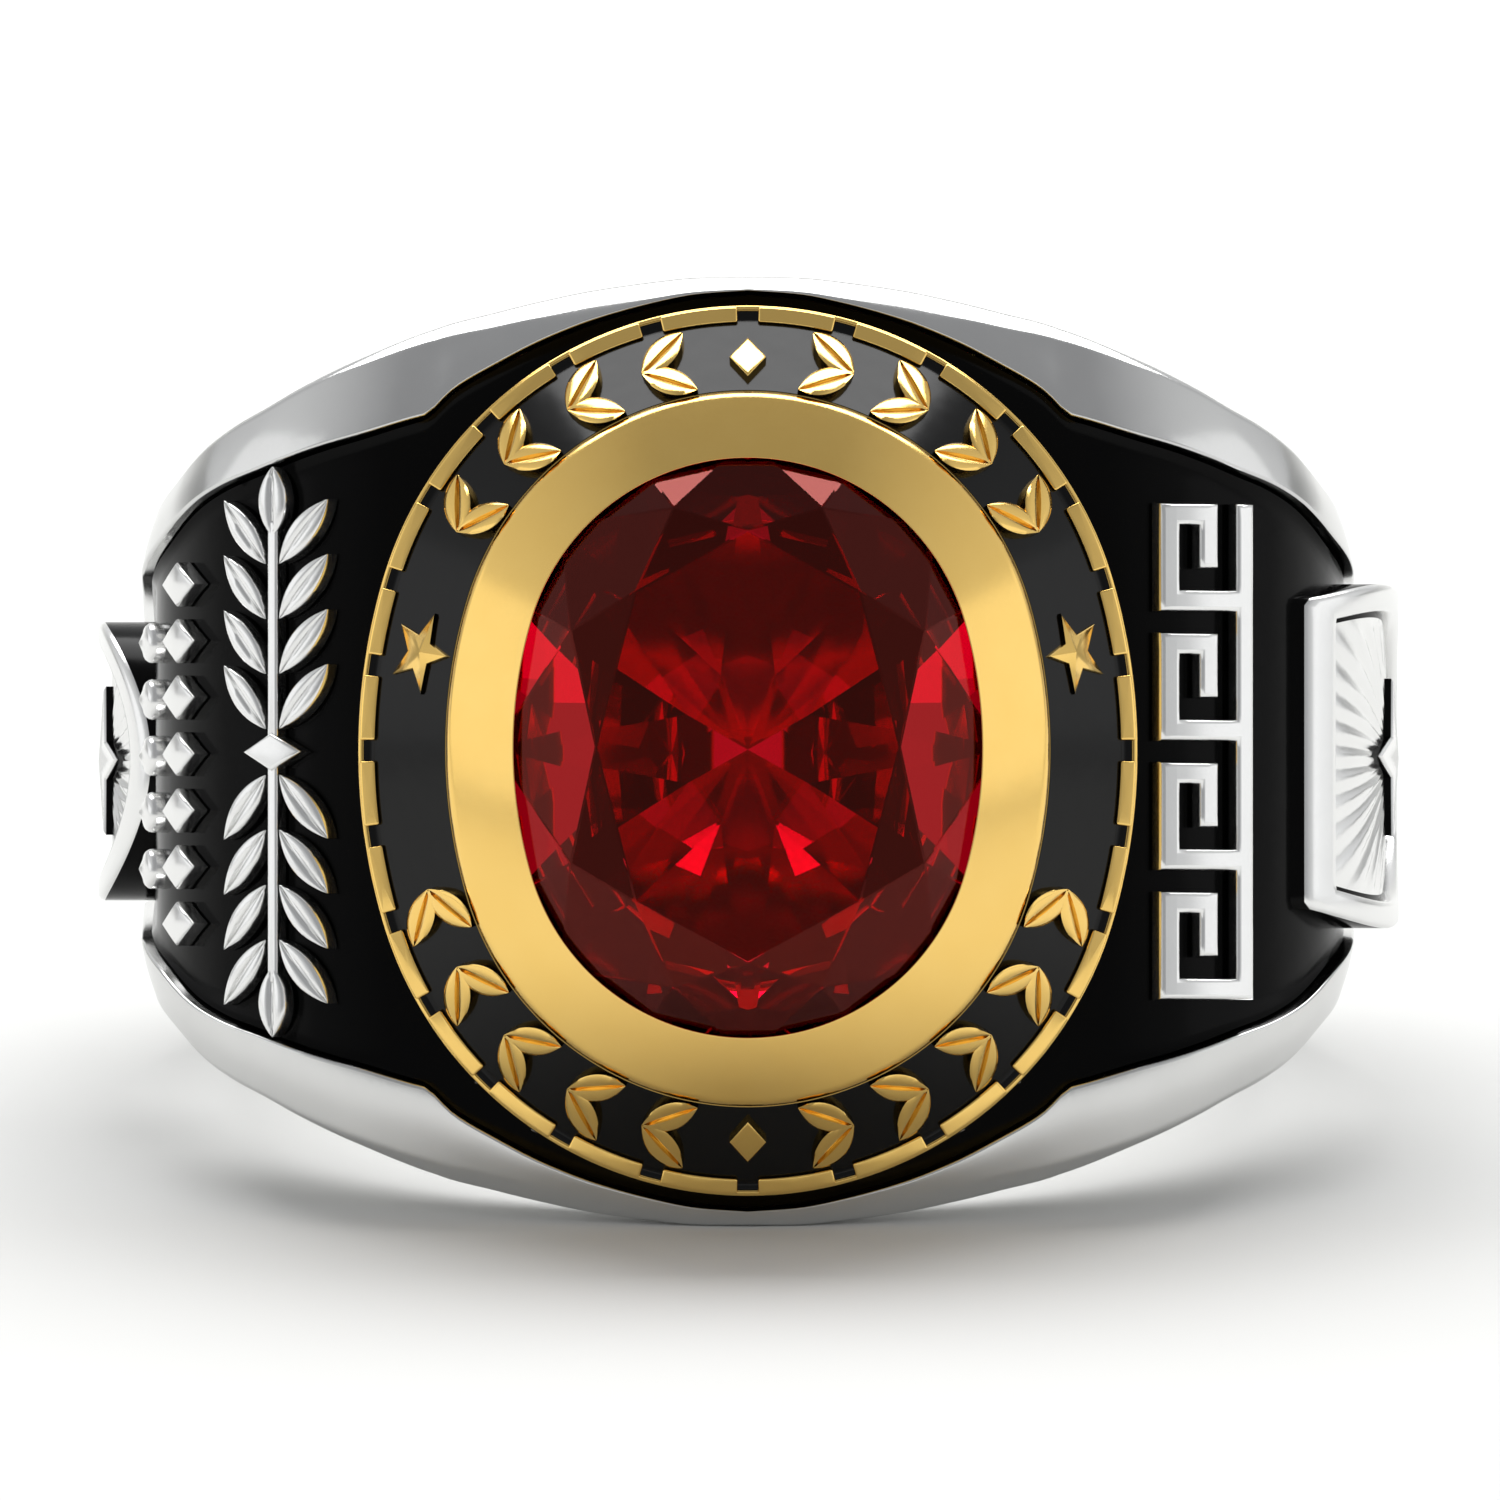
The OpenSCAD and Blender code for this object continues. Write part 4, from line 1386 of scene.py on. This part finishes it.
@dataclass
class CrownCasting:
    """The gold crown: rim with blocks, sloping channel with leaves and stars, and the smooth bezel."""

    gold: bpy.types.Material
    fall: float = 0.34
    stand: float = 0.01
    corner: float = 0.05
    leaf_step: float = 14.5
    leaf_turn: float = 32.0
    star_place: float = 80.0

    def profile(self) -> list[Points]:
        """The turned section, from the foot outside up and over to the seat under the stone."""
        r = RING
        line = r.channel_width - r.rim_line
        corners = [
            (r.channel_width, r.deck_z + self.stand),
            (r.channel_width, r.rim_z - self.fall * r.rim_width - 0.03),
            (line, r.rim_z - self.fall * (r.rim_width - r.rim_line) - 0.02),
            (line, r.floor_z),
            (r.channel_foot, r.floor_z),
            (r.channel_in, r.step_z),
            (0.0, r.step_z),
            (0.0, r.face_z),
            (-r.bezel_face, r.lip_z),
            (-r.bezel_face, r.girdle_top + r.seat_lap),
            (-r.girdle_edge + r.fit, r.girdle_top + r.fit),
            (-r.girdle_edge + r.fit, r.girdle_low - r.fit),
            (-r.bezel_face - r.cup_in[0], r.girdle_low - r.cup_drop),
            (-r.bezel_face - r.cup_in[1], r.deck_z + self.stand),
        ]
        radii = [0, 0.04, 0.03, 0.0, 0.0, 0.0, 0.0, 0.16, 0.07, 0.05, 0.0, 0.0, 0.0, 0]
        return soften(np.array(corners), radii, 4)

    def blocks(self, skin: Skin) -> None:
        """Adds the rim's blocks, each with rounded edges, between the notches."""
        r = RING
        dense = np.linspace(-0.3, 2 * math.pi + 0.3, 2400)
        inner, outer = r.channel_foot, r.channel_width - r.fit
        mid = (inner + outer) / 2
        xy = np.array([r.oval(mid, a) for a in dense])
        polar = np.unwrap(np.arctan2(xy[:, 1], xy[:, 0]))
        length = np.concatenate([[0], np.cumsum(np.hypot(*np.diff(xy, axis=0).T))])
        for k in range(r.blocks):
            here, there = (float(np.interp(2 * math.pi * j / r.blocks, polar, length)) for j in (k, k + 1))
            ends = [here + r.notch / 2, there - r.notch / 2]
            self.block(skin, ends, inner, outer, dense, length)

    def block(
        self, skin: Skin, ends: Sequence[float], inner: float, outer: float, dense: Points, length: Points
    ) -> None:
        """Adds one block.

        Args:
            skin: where its faces go.
            ends: where it starts and ends along the rim.
            inner: its inner side, from the bezel out.
            outer: its outer side.
            dense: directions round the oval.
            length: the rim's length up to each direction.
        """
        r = RING
        long, wide = ends[1] - ends[0], outer - inner

        def outline(inset: float) -> list[Flat]:
            """The block's outline in plan, drawn in, with small round corners."""
            rad = self.corner
            right, back = long - rad, wide - rad
            out = []
            for cx, cy, start in ((right, rad, -90), (right, back, 0), (rad, back, 90), (rad, rad, 180)):
                for a in (0, 30, 60, 90):
                    q = math.radians(start + a)
                    reach = max(rad - inset, 0.005)
                    shift = max(inset - rad + 0.005, 0.0)
                    px = cx + reach * math.cos(q) - math.copysign(shift, cx - long / 2)
                    py = cy + reach * math.sin(q) - math.copysign(shift, cy - wide / 2)
                    out.append((px, py))
            full = []
            for a, b in zip(out, out[1:] + out[:1]):
                # the long sides get points between, to follow the rim's curve
                m = 6 if abs(b[0] - a[0]) > long / 2 else 1
                full += [(a[0] + (b[0] - a[0]) * i / m, a[1] + (b[1] - a[1]) * i / m) for i in range(m)]
            return full

        def lay(x: float, y: float, z: float) -> Point:
            """Bends the block along the rim."""
            a = float(np.interp(ends[0] + x, length, dense))
            px, py = r.oval(inner + y, a)
            return px, py, z - (self.fall * y if z > r.floor_z + r.enamel else 0.0)

        Motif(skin, lay).plate(outline, r.rim_z, r.floor_z - FOOT, edge=0.05)

    def motifs(self, skin: Skin) -> None:
        """Adds the leaves, the two stars and the two diamonds on the channel's slope."""
        r = RING
        mid = r.channel_foot / 2
        tall = r.leaf_relief * math.hypot(1, r.channel_slope)

        def lay(x: float, y: float, z: float) -> Point:
            """Stands a point on the slope."""
            return x, y, r.slope_z(r.oval_distance(x, y)) + z

        step = self.leaf_step
        for s in (1, -1):
            places = [(90 - s * k * step, s) for k in range(1, 5)]
            places += [(270 + s * k * step, -s) for k in range(1, 6)]
            for deg, lean in places:
                a = math.radians(deg)
                cx, cy = r.oval(mid, a)
                along = a + math.pi / 2
                for q in (1, -1):
                    off = q * r.leaf_length / 4
                    at = (cx - off * math.sin(along), cy + off * math.cos(along))
                    leaf = Motif(skin, lay, at, along + math.radians(lean * q * self.leaf_turn))
                    leaf.leaf(r.leaf_length, r.leaf_width, tall, -FOOT, 0.1)
            a = math.radians(90 - s * self.star_place)
            self.star(skin, lay, r.oval(mid, a), a + math.pi / 2, tall)
        diamond = diamond_outline(0.56 * r.channel_foot, 0.52 * r.channel_foot)
        for a in (math.pi / 2, -math.pi / 2):
            Motif(skin, lay, r.oval(mid, a), a).plate(diamond, tall - 0.04, -FOOT, edge=0.06, peak=tall)

    def star(self, skin: Skin, lay: Mapping, at: Flat, turn: float, tall: float) -> None:
        """Adds a ridged star, drawn narrower up the slope so that it looks regular on it.

        Args:
            skin: where its faces go.
            lay: stands a point on the slope.
            at: its middle in plan.
            turn: its turn in plan.
            tall: its height over the slope.
        """
        r = RING
        flat = [(x, y * r.star_squash) for x, y in star_corners(r.star_r)]
        foot = [(x, y, -FOOT) for x, y in flat]
        # its wall ends in a small rounded edge, and its rays rise to the middle
        edge = [(x, y, tall * 0.62) for x, y in flat]
        rim = [(x * 0.93, y * 0.93, tall * 0.7) for x, y in flat]
        Motif(skin, lay, at, turn).rings([foot, edge, rim], 0, (0, 0, tall))

    def build(self) -> bpy.types.Object:
        """Builds the crown as one casting."""
        skin = Skin()
        sweep_oval(skin, self.profile())
        self.blocks(skin)
        self.motifs(skin)
        skin.slots = [0] * len(skin.slots)
        obj = skin.piece("crown_casting", [self.gold], 40)
        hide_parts("crown")
        return obj


@dataclass
class ChannelEnamel:
    """Black enamel on the channel's slope and on the floor of the rim's notches."""

    enamel: bpy.types.Material

    def build(self) -> bpy.types.Object:
        """Builds the layer's surface all the way round."""
        r = RING
        long = math.hypot(1, r.channel_slope)
        top = r.floor_z + r.enamel
        foot = r.channel_foot - (top - r.floor_z - r.enamel * long) / r.channel_slope
        corners = [
            (r.channel_width - r.rim_line - r.fit, r.floor_z + r.fit),
            (r.channel_width - r.rim_line - r.fit, top),
            (foot, top),
            (r.fit, r.slope_z(r.fit, r.enamel)),
            (r.fit, r.step_z + r.fit),
        ]
        profile = soften(np.array(corners), [0, 0.03, 0.08, 0.02, 0], 3)
        skin = Skin()
        sweep_oval(skin, profile)
        obj = skin.piece("channel_enamel_layer", [self.enamel], 50)
        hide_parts("channel_enamel")
        return obj


@dataclass
class OvalStone:
    """The oval brilliant: table, stars, kites, upper and lower girdle facets, and the pavilion."""

    corundum: bpy.types.Material
    edge_mm: float = 0.024

    def turn(self, k: float) -> float:
        """Direction out of a main facet, and of the girdle's points between."""
        return math.radians(45 * k - RING.facet_lean * math.sin(math.pi / 2 * k))

    def ring(self, shares: Flat, z: float, n: int) -> list[Point]:
        """Points round the stone.

        Args:
            shares: of the girdle's width and length.
            z: height of the points.
            n: number of points.

        Returns:
            The points, from the right against the clock.
        """
        out = []
        for k in range(n):
            x, y = RING.oval(-RING.girdle_edge, self.turn(8 * k / n))
            out.append((shares[0] * x, shares[1] * y, z))
        return out

    def tips(self, shares: Flat, reach: float, z: float) -> list[Point]:
        """Where neighbouring main facets meet.

        Args:
            shares: width and length of the ring that the main facets run to.
            reach: share of their way from the girdle to that ring.
            z: height there.

        Returns:
            One point between each two main facets.
        """

        def far(k: int) -> float:
            """How far out a main facet is there."""
            a = self.turn(k)
            x, y = RING.oval(-RING.girdle_edge, a)
            wide, long = (1 - reach + reach * share for share in shares)
            return wide * x * math.cos(a) + long * y * math.sin(a)

        out = []
        for k in range(8):
            a, b = self.turn(k), self.turn(k + 1)
            p, q = far(k) / math.sin(b - a), far(k + 1) / math.sin(b - a)
            out.append((p * math.sin(b) - q * math.sin(a), q * math.cos(a) - p * math.cos(b), z))
        return out

    def build(self) -> bpy.types.Object:
        """Builds the facets, then breaks the edges above the girdle so that they catch the light."""
        r = RING
        g = r.girdle_low
        shares = (r.table_width, r.table_length)
        skin = Skin()
        points = self.ring(shares, r.table_z, 8)
        points += self.tips(shares, r.upper_reach, r.girdle_top + r.stone_top * r.upper_reach)
        points += self.ring((1, 1), r.girdle_top, 16) + self.ring((1, 1), g, 16)
        points += self.tips((0, 0), r.lower_reach, g - r.stone_deep * r.lower_reach)
        for p in points:
            skin.add(p)
        skin.add((0, 0, r.culet_z))
        # the first point of each row: upper tips, upper and lower girdle, lower tips, culet
        tip, top, low, deep, culet = 8, 16, 32, 48, 56
        skin.face(tuple(range(8)))
        for k in range(8):
            n, q = (k + 1) % 8, (k + 7) % 8
            u, v = 2 * k, (2 * k + 2) % 16
            skin.face((n, k, tip + k))
            skin.face((tip + q, top + u, tip + k, k))
            skin.face((top + u, top + u + 1, tip + k))
            skin.face((top + u + 1, top + v, tip + k))
            skin.face((low + u + 1, low + u, deep + k))
            skin.face((low + v, low + u + 1, deep + k))
            skin.face((deep + k, low + u, deep + q, culet))
        for k in range(16):
            n = (k + 1) % 16
            skin.face((top + n, top + k, low + k, low + n))
        obj = skin.piece("oval_stone", [self.corundum], 1)
        weights = obj.data.attributes.new("bevel_weight_edge", "FLOAT", "EDGE")
        for edge in obj.data.edges:
            weights.data[edge.index].value = float(min(edge.vertices) < top and max(edge.vertices) < low)
        bevel = obj.modifiers.new("broken_edges", "BEVEL")
        bevel.width = self.edge_mm * MM
        bevel.segments = 1
        bevel.limit_method = "WEIGHT"
        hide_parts("stone")
        return obj


@dataclass
class Studio:
    """Pale paper sweep, soft lights, and the camera at the photograph's angle.

    Places and sizes are in metres where their name doesn't say millimetres.
    """

    paper: bpy.types.Material
    paper_half: float = 1.5
    bend_start: float = 0.45
    bend_r: float = 0.15
    paper_top: float = 0.2
    distance: float = 1.2
    field_mm: float = 27.85
    sensor_mm: float = 36.0
    aim_mm: Point = (0.04, 0.07, 9.0)
    lean: float = 1.2

    def sweep(self) -> bpy.types.Object:
        """Builds the floor that curves up into the background."""
        bend, rad = self.bend_start, self.bend_r
        line = [(-self.paper_half, 0.0), (bend, 0.0)]
        line += [(bend + rad * math.sin(a), rad - rad * math.cos(a)) for a in np.radians(range(10, 91, 10))]
        line += [(bend + rad, self.paper_top)]
        mesh = bpy.data.meshes.new("paper_sweep")
        points = [(x, y, z) for y, z in line for x in (-self.paper_half, self.paper_half)]
        faces = [(2 * k, 2 * k + 1, 2 * k + 3, 2 * k + 2) for k in range(len(line) - 1)]
        mesh.from_pydata(points, [], faces)
        mesh.materials.append(self.paper)
        mesh.shade_smooth()
        obj = bpy.data.objects.new("paper_sweep", mesh)
        bpy.context.scene.collection.objects.link(obj)
        return obj

    def light(self, name: str, at: Point, size: Flat, power: float) -> None:
        """Adds a soft rectangular light that faces the ring.

        Args:
            name: the light's name.
            at: where its middle is.
            size: its width and height.
            power: in watts.
        """
        data = bpy.data.lights.new(name, "AREA")
        data.shape = "RECTANGLE"
        data.size, data.size_y = size
        data.energy = power
        obj = bpy.data.objects.new(name, data)
        obj.location = at
        target = Vector((0, -0.004, 0.009))
        obj.rotation_euler = (target - Vector(at)).to_track_quat("-Z", "Y").to_euler()
        bpy.context.scene.collection.objects.link(obj)

    def world(self) -> None:
        """Grey room: brighter towards both sides and behind the ring, darker above the camera."""
        world = bpy.data.worlds.new("grey_room")
        world.use_nodes = True
        tree = world.node_tree
        tree.nodes.clear()
        where = add_node(tree, "ShaderNodeTexCoord").outputs["Generated"]
        parts = add_node(tree, "ShaderNodeSeparateXYZ", links={"Vector": where})
        side = add_node(tree, "ShaderNodeMath", {"operation": "ABSOLUTE"}, {0: parts.outputs["X"]})
        bright = add_node(
            tree, "ShaderNodeMath", {"operation": "MAXIMUM"}, {0: side.outputs[0], 1: parts.outputs["Y"]}
        )
        ramp = add_node(tree, "ShaderNodeValToRGB", links={"Fac": bright.outputs[0]})
        ramp.color_ramp.elements[0].position = 0.35
        ramp.color_ramp.elements[0].color = linear("#a3a4a6")
        ramp.color_ramp.elements[1].position = 0.9
        ramp.color_ramp.elements[1].color = linear("#e4e5e6")
        back = add_node(tree, "ShaderNodeBackground", {"Strength": 1.0}, {"Color": ramp.outputs[0]})
        add_node(tree, "ShaderNodeOutputWorld", links={"Surface": back.outputs[0]})
        bpy.context.scene.world = world

    def camera(self) -> None:
        """Adds the camera, nearly straight onto the stone, at the photograph's framing."""
        r = RING
        height = r.tilt - math.radians(self.lean)
        aim = Vector(r.to_row(np.array([self.aim_mm]))[0])
        away = Vector((0, -math.cos(height), math.sin(height)))
        data = bpy.data.cameras.new("camera")
        data.sensor_width = self.sensor_mm
        data.lens = self.sensor_mm * self.distance / (self.field_mm * MM)
        data.clip_start = 0.01
        obj = bpy.data.objects.new("camera", data)
        obj.location = aim + away * self.distance
        obj.rotation_euler = (-away).to_track_quat("-Z", "Y").to_euler()
        bpy.context.scene.collection.objects.link(obj)
        bpy.context.scene.camera = obj

    def build(self) -> None:
        """Sets the stage, and shows its colours as they are, without a film's soft shoulder."""
        bpy.context.scene.view_settings.view_transform = "Standard"
        self.sweep()
        self.world()
        self.light("left_softbox", (-0.45, -0.1, 0.12), (0.4, 0.2), 0.09)
        self.light("right_softbox", (0.45, -0.1, 0.12), (0.4, 0.2), 0.09)
        self.light("rear_softbox", (0.0, 0.32, 0.62), (0.9, 0.4), 6.6)
        self.camera()


def main() -> None:
    """Builds every piece of the ring and its stage."""
    logging.basicConfig(level=logging.INFO, format="%(name)s: %(message)s")
    # painted shade and light: the body and the raised reliefs are the same sterling silver. The body's copy
    # gets a darker colour and the reliefs' copy a lighter one, standing in for the darker and brighter
    # reflections that they catch.
    silver = CastMetal("cast_silver_painted_darker", "#d6d6d5", "#c0c0bf", 0.15).build()
    bright = CastMetal("raised_silver_painted_lighter", "#ececeb", "#dadad9", 0.2).build()
    gold = CastMetal("polished_cast_gold", "#f7d07a", "#e9bb5c", 0.15).build()
    enamel = BlackEnamel().build()
    deep_enamel = BlackEnamel("fired_black_enamel_in_sunk_panels", gloss=0.08).build()
    corundum = RedCorundum().build()
    ShankCasting(silver).build()
    PanelEnamel(deep_enamel).build()
    LeafPanel(bright, deep_enamel).build()
    KeyPanel(bright, deep_enamel).build()
    for side in Side:
        Emblem(bright, deep_enamel, side).build()
    CrownCasting(gold).build()
    ChannelEnamel(enamel).build()
    OvalStone(corundum).build()
    Studio(StudioPaper().build()).build()


if __name__ == "__main__":
    main()
